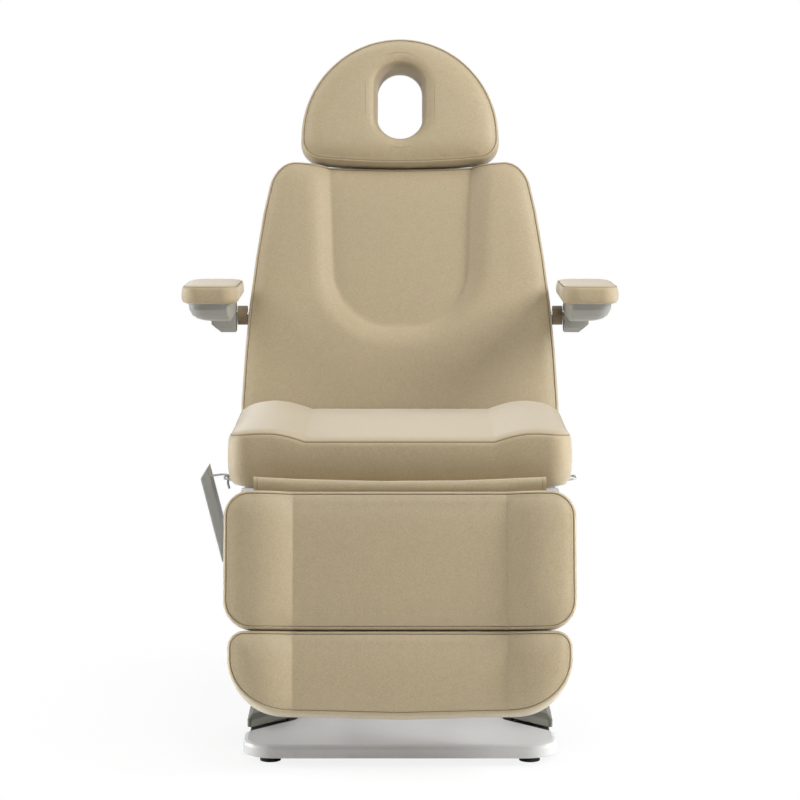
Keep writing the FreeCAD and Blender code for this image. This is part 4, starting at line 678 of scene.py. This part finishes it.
def seat_height(x, s):
    across = np.abs(x)
    share = np.clip((across - SEAT_FLOOR_HALF) / (SEAT_CREST - SEAT_FLOOR_HALF), 0.0, 1.0)
    rise = SEAT_DEPTH * np.sin(share * math.pi / 2.0)
    outer = np.clip((across - SEAT_CREST) / (SEAT_HALF - SEAT_CREST), 0.0, 1.0)
    fall = SEAT_FALL_FRONT + (SEAT_FALL_REAR - SEAT_FALL_FRONT) * smooth(s, SEAT_FRONT, SEAT_FALL_END)
    return SEAT_TOP - SEAT_DEPTH + rise - fall * outer ** 2


def seat_undercut(flat):
    """Slope the rear end forwards and down."""
    share = smooth(flat[:, 1], *UNDERCUT_REACH)
    lean = (SEAT_TOP - flat[:, 2]) * UNDERCUT * share
    return np.column_stack((flat[:, 0], flat[:, 1] - lean, flat[:, 2]))


seat_grid = panel_grid(SEAT_HALF, (SEAT_FRONT, SEAT_REAR), SEAT_CORNERS, SEAT_STEP,
                       (-SEAT_FLOOR_HALF, SEAT_FLOOR_HALF))
seat_pad = make_pad("seat_pad", LEVEL, seat_grid, SEAT_FLOOR, seat_height, SEAT_BOARD, SEAT_CROWN,
                    band=SEAT_BAND, warp=seat_undercut, rings_over=EDGE_RINGS, stitch=SEAT_STITCH)
upholster(seat_pad, "seat", "seat_cushion")

# %% [markdown]
# ## Backrest
# The backrest narrows upwards. A U is pressed into it, open at the top, for the shoulders and
# spine. Sculpting it by hand could not be repeated to size, so the distance from the U's floor
# gives the height: flat inside a crisp line, and from there a broad wall that swings up and out.
# The top edge dips in the middle to follow the headrest.

# %% Back pad
BACK_FLOOR = 0.023
BACK_BOARD = 0.0555
BACK_ENDS = (-0.040, 0.5808)
BACK_CORNERS = (0.020, 0.045)
BACK_CROWN = (0.0120, 0.022)
# Places along the backrest and its half width there
BACK_WIDTHS = ((-0.040, 0.3145), (0.079, 0.3140), (0.180, 0.3085), (0.284, 0.3000), (0.380, 0.2885),
               (0.469, 0.2750), (0.530, 0.2620), (0.579, 0.2520))
BACK_DIP = 0.0098
BACK_DIP_START = 0.38
BACK_DIP_HALF = 0.235
U_HALF = 0.137
U_LOW = 0.238
U_CORNER = 0.118
U_WALL = 0.052
U_DEPTH = 0.0255
U_SLOPE = 2.2
# The U widens upwards by this share per metre, and has its named width at this place
U_FLARE = 0.22
U_FLARE_PLACE = 0.40


def back_half(s):
    places = [place for place, half in BACK_WIDTHS]
    halves = [half - RIM_INSET for place, half in BACK_WIDTHS]
    return np.interp(s, places, halves)


def u_gap(x, s):
    """Distance outside the floor of the U, negative inside."""
    across = np.abs(x) * (1.0 - U_FLARE * (s - U_FLARE_PLACE)) - (U_HALF - U_CORNER)
    down = U_LOW + U_CORNER - s
    outside = np.hypot(np.maximum(across, 0.0), np.maximum(down, 0.0))
    return outside + np.minimum(np.maximum(across, down), 0.0) - U_CORNER


def back_height(x, s):
    rise = np.clip(u_gap(x, s) / U_WALL, 0.0, 1.0)
    return PAD_TOP - U_DEPTH * (1.0 - rise) ** U_SLOPE


def dipped(flat):
    """Lower the middle of the top edge."""
    high = smooth(flat[:, 1], BACK_DIP_START, BACK_ENDS[1])
    bow = np.clip(1.0 - (flat[:, 0] / BACK_DIP_HALF) ** 2, 0.0, 1.0)
    return np.column_stack((flat[:, 0], flat[:, 1] - BACK_DIP * high * bow, flat[:, 2]))


back_grid = panel_grid(BACK_WIDTHS[0][1], BACK_ENDS, BACK_CORNERS, PAD_STEP, width=back_half)
back_pad = make_pad("back_pad", BACK, back_grid, BACK_FLOOR, back_height, BACK_BOARD, BACK_CROWN, warp=dipped)
upholster(back_pad, "back", "back_cushion")

# %% [markdown]
# ## Headrest
# Half an ellipse with a hole for the face. A grid would meet the hole in steps, so here rings run
# from the rim to the hole. The skin turns over a rounded edge and down through the hole to the
# back, so that no foam shows, and leaves a recess for the board.


# %% Outlines of headrest and face hole
HEAD_HALF = 0.200
HEAD_LOW = 0.5725
HEAD_SHOULDER = 0.058
HEAD_RISE = 0.210
HEAD_CORNER = 0.042
HEAD_CORNER_SHRINK = 0.7
HEAD_BOW = 0.008
HOLE_CENTRE = 0.705
HOLE_HALF = 0.045
HOLE_STRAIGHT = 0.031


def even(points, count):
    """The same closed line with its points spread evenly."""
    closed = np.concatenate((points, points[:1]))
    gaps = np.linalg.norm(np.diff(closed, axis=0), axis=1)
    run = np.concatenate(((0.0,), np.cumsum(gaps)))
    wanted = np.linspace(0.0, run[-1], count, endpoint=False)
    return np.column_stack((np.interp(wanted, run, closed[:, 0]), np.interp(wanted, run, closed[:, 1])))


def arc(centre_x, centre_s, radius_x, radius_s, first, last, count):
    angles = np.radians(np.linspace(first, last, count))
    return [(centre_x + radius_x * math.cos(a), centre_s + radius_s * math.sin(a)) for a in angles]


def mirrored(points):
    """A closed line from its right half, which starts and ends on the middle line."""
    return np.array(points + [(-x, s) for x, s in reversed(points[1:-1])])


def head_rim(inset):
    """Outline of the headrest from its lowest middle point, counter-clockwise."""
    half = HEAD_HALF - inset
    corner = HEAD_CORNER - inset * HEAD_CORNER_SHRINK
    bottom = HEAD_LOW + HEAD_BOW + inset
    points = [(t * (half - corner), bottom - HEAD_BOW * (1.0 - t * t)) for t in np.linspace(0.0, 1.0, 40)]
    points += arc(half - corner, bottom + corner, corner, corner, -85.0, 0.0, 24)
    points += arc(0.0, HEAD_LOW + HEAD_SHOULDER, half, HEAD_RISE - inset, 0.0, 90.0, 70)
    return mirrored(points)


def hole_rim(grow):
    """Outline of the face hole from its lowest middle point, counter-clockwise."""
    half = HOLE_HALF + grow
    points = arc(0.0, HOLE_CENTRE - HOLE_STRAIGHT, half, half, -90.0, 0.0, 30)
    points += arc(0.0, HOLE_CENTRE + HOLE_STRAIGHT, half, half, 0.0, 90.0, 30)
    return mirrored(points)


print("headrest", 2 * HEAD_HALF, "m wide, its hole", 2 * HOLE_HALF, "m")

# %% Head pad
HEAD_FLOOR = 0.038
HEAD_CROWN = (0.0140, 0.022)
HEAD_GATHER = 0.0002
HEAD_BOARD = 0.0187
HEAD_POINTS = 320
HEAD_RINGS = 30
HOLE_CROWN = (0.0070, 0.009)
HOLE_FLARE = 0.0100
# Painted shade on the skin that turns down inside the face hole, where less light reaches
HOLE_SHADE = 0.28
HOLE_LIP = 0.0060
HOLE_STITCH = 0.0150
# The skin inside the hole: how far in from the flared rim, and the level there
HOLE_TURN = ((0.0030, 0.1030), (0.0060, 0.0980), (0.0084, 0.0905), (0.0096, 0.0800), (0.0100, 0.0640),
             (0.0100, 0.0480), (0.0100, HEAD_FLOOR))


def head_height(to_rim, to_hole):
    """Height of the front panel at given distances from the rim and from the hole."""
    at_rim = HEAD_CROWN[0] * np.exp(-to_rim / HEAD_CROWN[1])
    at_hole = HOLE_CROWN[0] * np.exp(-to_hole / HOLE_CROWN[1])
    return PAD_TOP - at_rim - at_hole


def level_ring(ring, level, shade=0.0):
    """A ring of the head pad that lies at one level, with the darkness painted on it."""
    return np.column_stack((ring, np.full(len(ring), level))), np.full(len(ring), shade)


def make_head():
    rim = even(head_rim(RIM_INSET), HEAD_POINTS)
    hole = even(hole_rim(HOLE_FLARE), HEAD_POINTS)
    panel = []
    for t in np.linspace(0.0, 1.0, HEAD_RINGS):
        ring = rim + (hole - rim) * t
        to_rim = np.linalg.norm(ring - rim, axis=1)
        to_hole = np.linalg.norm(ring - hole, axis=1)
        height = head_height(to_rim, to_hole) + pucker(to_rim, run_along(rim), HEAD_GATHER)
        panel.append((np.column_stack((ring, height)), np.zeros(HEAD_POINTS)))
    edge = panel[0][0][:, 2]
    from_hole = outward(hole)
    turn = [level_ring(hole - from_hole * into, level, HOLE_SHADE) for into, level in HOLE_TURN]
    lip = hole - from_hole * HOLE_TURN[-1][0] + from_hole * HOLE_LIP
    recess = rim - outward(rim) * HEAD_BOARD
    under = [level_ring(lip, HEAD_FLOOR), level_ring(lip, HEAD_FLOOR + POCKET),
             level_ring(recess, HEAD_FLOOR + POCKET), level_ring(recess, HEAD_FLOOR)]
    loops = skirt(rim, edge, HEAD_FLOOR, BAND_RINGS)[::-1] + panel + turn + under
    points = np.concatenate([ring for ring, shade in loops])
    seam_and_shade = np.concatenate([shade for ring, shade in loops])
    numbers = [np.arange(k * HEAD_POINTS, (k + 1) * HEAD_POINTS) for k in range(len(loops))]
    faces = ring_faces(numbers + numbers[:1])
    stitch_lines["head_pad"] = seam_line(BACK, rim, edge, *SEAM_STITCH)
    sewn = even(hole_rim(HOLE_FLARE + HOLE_STITCH), HEAD_POINTS)
    level = head_height(rim_distance(sewn, rim)[0], HOLE_STITCH)
    stitch_lines["head_hole"] = BACK.place(np.column_stack((sewn, level)))
    return make_object("head_pad", BACK.place(points), faces, seam_and_shade)


head_pad = make_head()
upholster(head_pad, "head", "head_cushion")

# %% [markdown]
# ## Armrest pads
# A boxed cushion on the plastic shell: a nearly flat top panel, and a band that bulges a little.
# The left one is the right one moved across, so both come from one grid. Its size is read from the
# frame's own pad, so that the skin fits the shell.

# %% Arm pads
ARM_LOW, ARM_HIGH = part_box("arm_pad_right")
ARM_INSET = 0.0065
ARM_CORNERS = (0.028, 0.028)
ARM_STEP = 0.004
ARM_BOARD = 0.006
ARM_CROWN = (0.0022, 0.008)
ARM_GATHER = 0.0002
ARM_STITCH = (0.0031, 0.0019)
# Over the seam of an arm pad, as above: the last number is the darkness painted on the seam line, its own
# dark with painted shade in the groove
ARM_RINGS = ((0.0012, 0.0004, 0.0), (0.0020, 0.0009, 0.05), (0.0024, 0.0022, 0.45),
             (0.0027, 0.0024, 0.6), (0.0035, 0.0020, 0.05), (0.0049, 0.0041, 0.0),
             (0.0060, 0.0082, 0.0))
ARM_BAND = ((0.0065, 0.76), (0.0067, 0.52), (0.0063, 0.30), (0.0046, 0.12), (0.0012, 0.03),
            (-0.0050, 0.0))
ARM_FRONT_RISE = 0.0035
ARM_REAR_FALL = 0.0065


def arm_height(x, s):
    along = (s - ARM_LOW.y) / (ARM_HIGH.y - ARM_LOW.y)
    return ARM_HIGH.z + ARM_FRONT_RISE - ARM_REAR_FALL * along


arm_middle = (ARM_LOW.x + ARM_HIGH.x) / 2
arm_half = (ARM_HIGH.x - ARM_LOW.x) / 2
arm_grid = panel_grid(arm_half, (ARM_LOW.y, ARM_HIGH.y), ARM_CORNERS, ARM_STEP, inset=ARM_INSET)
for side, label in ((1.0, "right"), (-1.0, "left")):
    shifted = (arm_grid[0] + np.array([[side * arm_middle, 0.0]]), arm_grid[1], arm_grid[2])
    arm_pad = make_pad("arm_pad_skin_" + label, LEVEL, shifted, ARM_LOW.z, arm_height, ARM_BOARD, ARM_CROWN,
                       gather=ARM_GATHER, band=ARM_BAND, rings_over=ARM_RINGS, stitch=ARM_STITCH)
    upholster(arm_pad, "armrest_" + label, "arm_pad_" + label)

# %% [markdown]
# ## Stitches
# Thread lies in the groove of every seam, and one more ring of it runs round the face hole. There
# are thousands of stitches, so they are not placed one by one: a node group resamples a line at
# the stitch pitch and sets a small capsule on each point, turned along the line. The group's
# inputs are the sizes of a stitch.

# %% Stitch node group
STITCH_SIZES = {"Pitch": 0.0046, "Length": 0.0027, "Thickness": 0.0006}
STITCH_SEGMENTS = 6
STITCH_ROUNDS = 5


def stitch_group():
    group = bpy.data.node_groups.new("stitch_row", "GeometryNodeTree")
    group.interface.new_socket("Geometry", in_out="INPUT", socket_type="NodeSocketGeometry")
    sockets = {}
    for label, value in STITCH_SIZES.items():
        sockets[label] = group.interface.new_socket(label, in_out="INPUT", socket_type="NodeSocketFloat")
        sockets[label].default_value = value
    group.interface.new_socket("Geometry", in_out="OUTPUT", socket_type="NodeSocketGeometry")
    add = group.nodes.new
    entry = add("NodeGroupInput")
    leave = add("NodeGroupOutput")
    line = add("GeometryNodeMeshToCurve")
    even_line = add("GeometryNodeResampleCurve")
    even_line.mode = "LENGTH"
    tangent = add("GeometryNodeInputTangent")
    turn = add("FunctionNodeAlignRotationToVector")
    turn.axis = "Z"
    stitch = add("GeometryNodeMeshUVSphere")
    stitch.inputs["Segments"].default_value = STITCH_SEGMENTS
    stitch.inputs["Rings"].default_value = STITCH_ROUNDS
    stitch.inputs["Radius"].default_value = 1.0
    half = add("ShaderNodeMath")
    half.operation = "MULTIPLY"
    half.inputs[1].default_value = 0.5
    size = add("ShaderNodeCombineXYZ")
    repeat = add("GeometryNodeInstanceOnPoints")
    real = add("GeometryNodeRealizeInstances")
    thread = add("GeometryNodeSetMaterial")
    thread.inputs["Material"].default_value = THREAD
    for source, output, target, socket in (
            (entry, "Geometry", line, "Mesh"),
            (line, "Curve", even_line, "Curve"),
            (entry, "Pitch", even_line, "Length"),
            (tangent, "Tangent", turn, "Vector"),
            (entry, "Length", half, 0),
            (entry, "Thickness", size, "X"),
            (entry, "Thickness", size, "Y"),
            (half, "Value", size, "Z"),
            (even_line, "Curve", repeat, "Points"),
            (stitch, "Mesh", repeat, "Instance"),
            (turn, "Rotation", repeat, "Rotation"),
            (size, "Vector", repeat, "Scale"),
            (repeat, "Instances", real, "Geometry"),
            (real, "Geometry", thread, "Geometry"),
            (thread, "Geometry", leave, "Geometry")):
        group.links.new(source.outputs[output], target.inputs[socket])
    return group, {label: socket.identifier for label, socket in sockets.items()}


STITCHES, STITCH_INPUTS = stitch_group()
print("stitch group:", len(STITCHES.nodes), "nodes")


# %% Stitch rows
def stitch_row(name, line, body):
    """A row of stitches along a closed line of world points, as one plain mesh."""
    count = len(line)
    mesh = bpy.data.meshes.new(name + "_line")
    mesh.from_pydata([tuple(p) for p in line], [(i, (i + 1) % count) for i in range(count)], [])
    made = bpy.data.objects.new(name, mesh)
    bpy.context.scene.collection.objects.link(made)
    rows = made.modifiers.new("stitches", "NODES")
    rows.node_group = STITCHES
    for label, value in STITCH_SIZES.items():
        rows[STITCH_INPUTS[label]] = value
    bpy.context.view_layer.update()
    sewn = bpy.data.meshes.new_from_object(made.evaluated_get(bpy.context.evaluated_depsgraph_get()))
    made.modifiers.clear()
    made.data = sewn
    sewn.materials.clear()
    sewn.materials.append(THREAD)
    sewn.shade_smooth()
    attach(made, body)
    print(name, len(sewn.polygons), "faces")


BODY_OF_SEAM = {"leg_pad": "leg", "foot_pad": "foot", "seat_pad": "seat", "back_pad": "back",
                "head_pad": "head", "head_hole": "head",
                "arm_pad_skin_left": "armrest_left", "arm_pad_skin_right": "armrest_right"}
for name, body in BODY_OF_SEAM.items():
    stitch_row(name + "_stitches", stitch_lines[name], body)

# %% [markdown]
# ## Gap flap
# A strip of the same coated cloth closes the gap between seat and leg rest. It is sewn to the leg
# pad's upper end and to the seat's lower front edge, and stands in a soft fold while the leg rest
# hangs down. A cloth simulation could find such a fold, but here its height and place are known, so
# its section is drawn as a line and swept across.

# %% Gap flap
FLAP_HALF = 0.262
FLAP_STEP = 0.006
# The fold seen from the side, as (y, z), from the leg rest to the seat
FLAP_LINE = ((-0.3985, 0.4990), (-0.3996, 0.5060), (-0.4006, 0.5130), (-0.4005, 0.5195), (-0.3985, 0.5248),
             (-0.3945, 0.5280), (-0.3895, 0.5277), (-0.3845, 0.5222), (-0.3770, 0.5130), (-0.3650, 0.5045),
             (-0.3520, 0.5000), (-0.3430, 0.4988), (-0.3345, 0.4987), (-0.3266, 0.4996))
# Its middle sags by this much at the top of the fold, which rises this far above the foot
FLAP_SAG = 0.0075
FLAP_FOOT = 0.4978
FLAP_RISE = 0.03
FLAP_HEM = 0.0065
HEM_GROOVE = 0.0012
HEM_SHADE = 0.7


def flap_sway(x):
    """Slight unevenness of the cloth across its width."""
    return 0.0002 * math.sin(x * 40.0) + 0.0001 * math.sin(x * 91.0 + 1.0)


def make_flap():
    line = np.array(FLAP_LINE)
    hem = FLAP_HALF - FLAP_HEM
    hem_lines = [side * (hem + shift) for side in (-1, 1) for shift in (-HEM_GROOVE, 0.0, HEM_GROOVE)]
    across = spread(-FLAP_HALF, FLAP_HALF, FLAP_STEP, hem_lines)
    points = []
    seam_and_shade = []
    for y, z in line:
        for x in across:
            share = (z - FLAP_FOOT) / FLAP_RISE
            sag = FLAP_SAG * (1.0 - (x / FLAP_HALF) ** 2)
            points.append((x, y, z + (flap_sway(x) - sag) * share))
            seam_and_shade.append(HEM_SHADE if abs(abs(x) - hem) < HEM_GROOVE / 2 else 0.0)
    wide = len(across)
    faces = []
    for row in range(len(line) - 1):
        for i in range(wide - 1):
            a = row * wide + i
            faces.append((a, a + 1, a + 1 + wide, a + wide))
    made = make_object("gap_flap_skin", points, faces, seam_and_shade)
    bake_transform(made)
    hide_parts("gap_flap")


make_flap()

# %% [markdown]
# ## Studio
# A catalogue picture: white all round, and only a faint shade under the chair. A lit backdrop
# would have to be balanced against the lamps, so the floor mostly glows for the camera and keeps a
# little of its own shade near the chair.


# %% Floor
FLOOR_HALF = 30.0
# The floor's glow near the chair, what it gains further out, and where that starts and ends
GLOW_NEAR = 0.86
GLOW_GAIN = 0.14
GLOW_REACH = (0.4, 1.0)


def make_floor():
    paint = Paint("studio_floor", Specular_IOR_Level=0.0, Roughness=0.9)
    paint.colour(tint(0.92, 0.92, 0.92))
    glow = paint.node("ShaderNodeEmission", {"Color": tint(1.0, 1.0, 1.0), "Strength": 1.0})
    reach = paint.node("ShaderNodeVectorMath", {0: paint.place}, output="Value", operation="LENGTH")
    clear = GLOW_NEAR + GLOW_GAIN * paint.step(reach, *GLOW_REACH)
    seen = paint.node("ShaderNodeLightPath", output="Is Camera Ray")
    cover = paint.node("ShaderNodeMixShader", {0: clear * seen, 1: Value(paint, paint.shader.outputs[0]),
                                               2: glow})
    paint.join(paint.tree.nodes["Material Output"].inputs["Surface"], cover)
    corners = [(-FLOOR_HALF, -FLOOR_HALF, 0), (FLOOR_HALF, -FLOOR_HALF, 0),
               (FLOOR_HALF, FLOOR_HALF, 0), (-FLOOR_HALF, FLOOR_HALF, 0)]
    mesh = bpy.data.meshes.new("studio_floor")
    mesh.from_pydata(corners, [], [(0, 1, 2, 3)])
    mesh.materials.append(paint.material)
    floor = bpy.data.objects.new("studio_floor", mesh)
    bpy.context.scene.collection.objects.link(floor)


make_floor()
print("floor", 2 * FLOOR_HALF, "m wide")

# %% [markdown]
# ## Surroundings
# One white sky would light the pads flat from all sides. The surroundings are therefore dim, the
# camera sees plain white, and only glossy rays meet brighter walls, so that paint and steel have
# something to mirror.

# %% World
AMBIENT = 0.06
MIRROR_FRONT = 0.1
MIRROR_BEHIND = 0.6
# The walls brighten from front to back between these two shares of the way
WALL_FROM = -0.6
WALL_TO = 0.5


def make_world():
    world = bpy.data.worlds.new("studio")
    bpy.context.scene.world = world
    world.use_nodes = True
    tree = world.node_tree
    sky = tree.nodes["Background"]
    sky.inputs["Strength"].default_value = AMBIENT
    walls = tree.nodes.new("ShaderNodeBackground")
    clear = tree.nodes.new("ShaderNodeBackground")
    for shade in (sky, walls, clear):
        shade.inputs["Color"].default_value = tint(1.0, 1.0, 1.0)
    place = tree.nodes.new("ShaderNodeTexCoord")
    parts = tree.nodes.new("ShaderNodeSeparateXYZ")
    strength = tree.nodes.new("ShaderNodeMapRange")
    for socket, value in (("From Min", WALL_FROM), ("From Max", WALL_TO),
                          ("To Min", MIRROR_FRONT), ("To Max", MIRROR_BEHIND)):
        strength.inputs[socket].default_value = value
    tree.links.new(place.outputs["Generated"], parts.inputs[0])
    tree.links.new(parts.outputs["Y"], strength.inputs["Value"])
    tree.links.new(strength.outputs[0], walls.inputs["Strength"])
    path = tree.nodes.new("ShaderNodeLightPath")
    last = sky
    for ray, shade in (("Is Glossy Ray", walls), ("Is Camera Ray", clear)):
        choose = tree.nodes.new("ShaderNodeMixShader")
        tree.links.new(path.outputs[ray], choose.inputs[0])
        tree.links.new(last.outputs[0], choose.inputs[1])
        tree.links.new(shade.outputs[0], choose.inputs[2])
        last = choose
    tree.links.new(last.outputs[0], tree.nodes["World Output"].inputs[0])


make_world()
print("surroundings ready")

# %% [markdown]
# ## Lamps
# Two high softboxes light the sides, the right one stronger, so that the bolsters and the U have a
# bright and a shaded slope. A big lamp in front and above fills the fronts, low lamps behind each
# side draw the edges, a small one behind lights the tops, and two narrow strips graze the base.


# %% Lamps
def make_lamp(name, power, size, place, target, spread_angle=180.0):
    lamp = bpy.data.lights.new(name, "AREA")
    lamp.spread = math.radians(spread_angle)
    lamp.energy = power
    lamp.shape = "RECTANGLE"
    lamp.size = size[0]
    lamp.size_y = size[1]
    made = bpy.data.objects.new(name, lamp)
    bpy.context.scene.collection.objects.link(made)
    made.location = place
    made.rotation_euler = (Vector(target) - Vector(place)).to_track_quat("-Z", "Y").to_euler()
    print(name, power, "W")


SOFTBOX = (1.2, 1.6)
RIM_LAMP = (1.2, 1.4)
STRIP = (0.8, 0.3)
CHAIR_MIDDLE = (0.0, -0.1, 0.7)
CHAIR_FRONT = (0.0, -0.2, 0.7)
BASE_FRONT = (0.0, -0.36, 0.0)
make_lamp("right_softbox", 110.0, SOFTBOX, (3.1, -1.0, 2.7), CHAIR_MIDDLE)
make_lamp("left_softbox", 44.0, SOFTBOX, (-3.1, -0.1, 2.7), CHAIR_MIDDLE)
make_lamp("left_rim", 44.0, RIM_LAMP, (-3.0, 0.5, 0.9), CHAIR_FRONT)
make_lamp("right_rim", 24.0, RIM_LAMP, (3.0, 0.5, 0.9), CHAIR_FRONT)
make_lamp("overhead", 112.0, (2.8, 2.0), (0.6, -3.6, 4.6), (0.0, -0.3, 0.5))
make_lamp("top", 20.0, (1.6, 1.2), (0.0, 1.2, 3.3), (0.0, -0.2, 0.6))
make_lamp("floor_left", 1.1, STRIP, (-2.6, -0.2, 0.4), BASE_FRONT, spread_angle=36.0)
make_lamp("floor_right", 1.1, STRIP, (2.6, -0.2, 0.4), BASE_FRONT, spread_angle=36.0)

# %% [markdown]
# ## Camera
# The camera stands well back with a long lens and looks slightly down, so that verticals stay
# nearly parallel and the seat's top shows as a narrow band.

# %% Camera
CAMERA_PLACE = (0.0, -5.422, 1.293)
CAMERA_LENS = 127.8
CAMERA_DOWN = 7.1
camera = bpy.data.cameras.new("camera")
camera.sensor_width = 36.0
camera.lens = CAMERA_LENS
camera.clip_end = 100.0
viewer = bpy.data.objects.new("camera", camera)
bpy.context.scene.collection.objects.link(viewer)
viewer.location = CAMERA_PLACE
viewer.rotation_euler = (math.radians(90.0 - CAMERA_DOWN), 0.0, 0.0)
bpy.context.scene.camera = viewer
bpy.context.scene.view_settings.view_transform = "Standard"
print("camera", CAMERA_LENS, "mm lens")
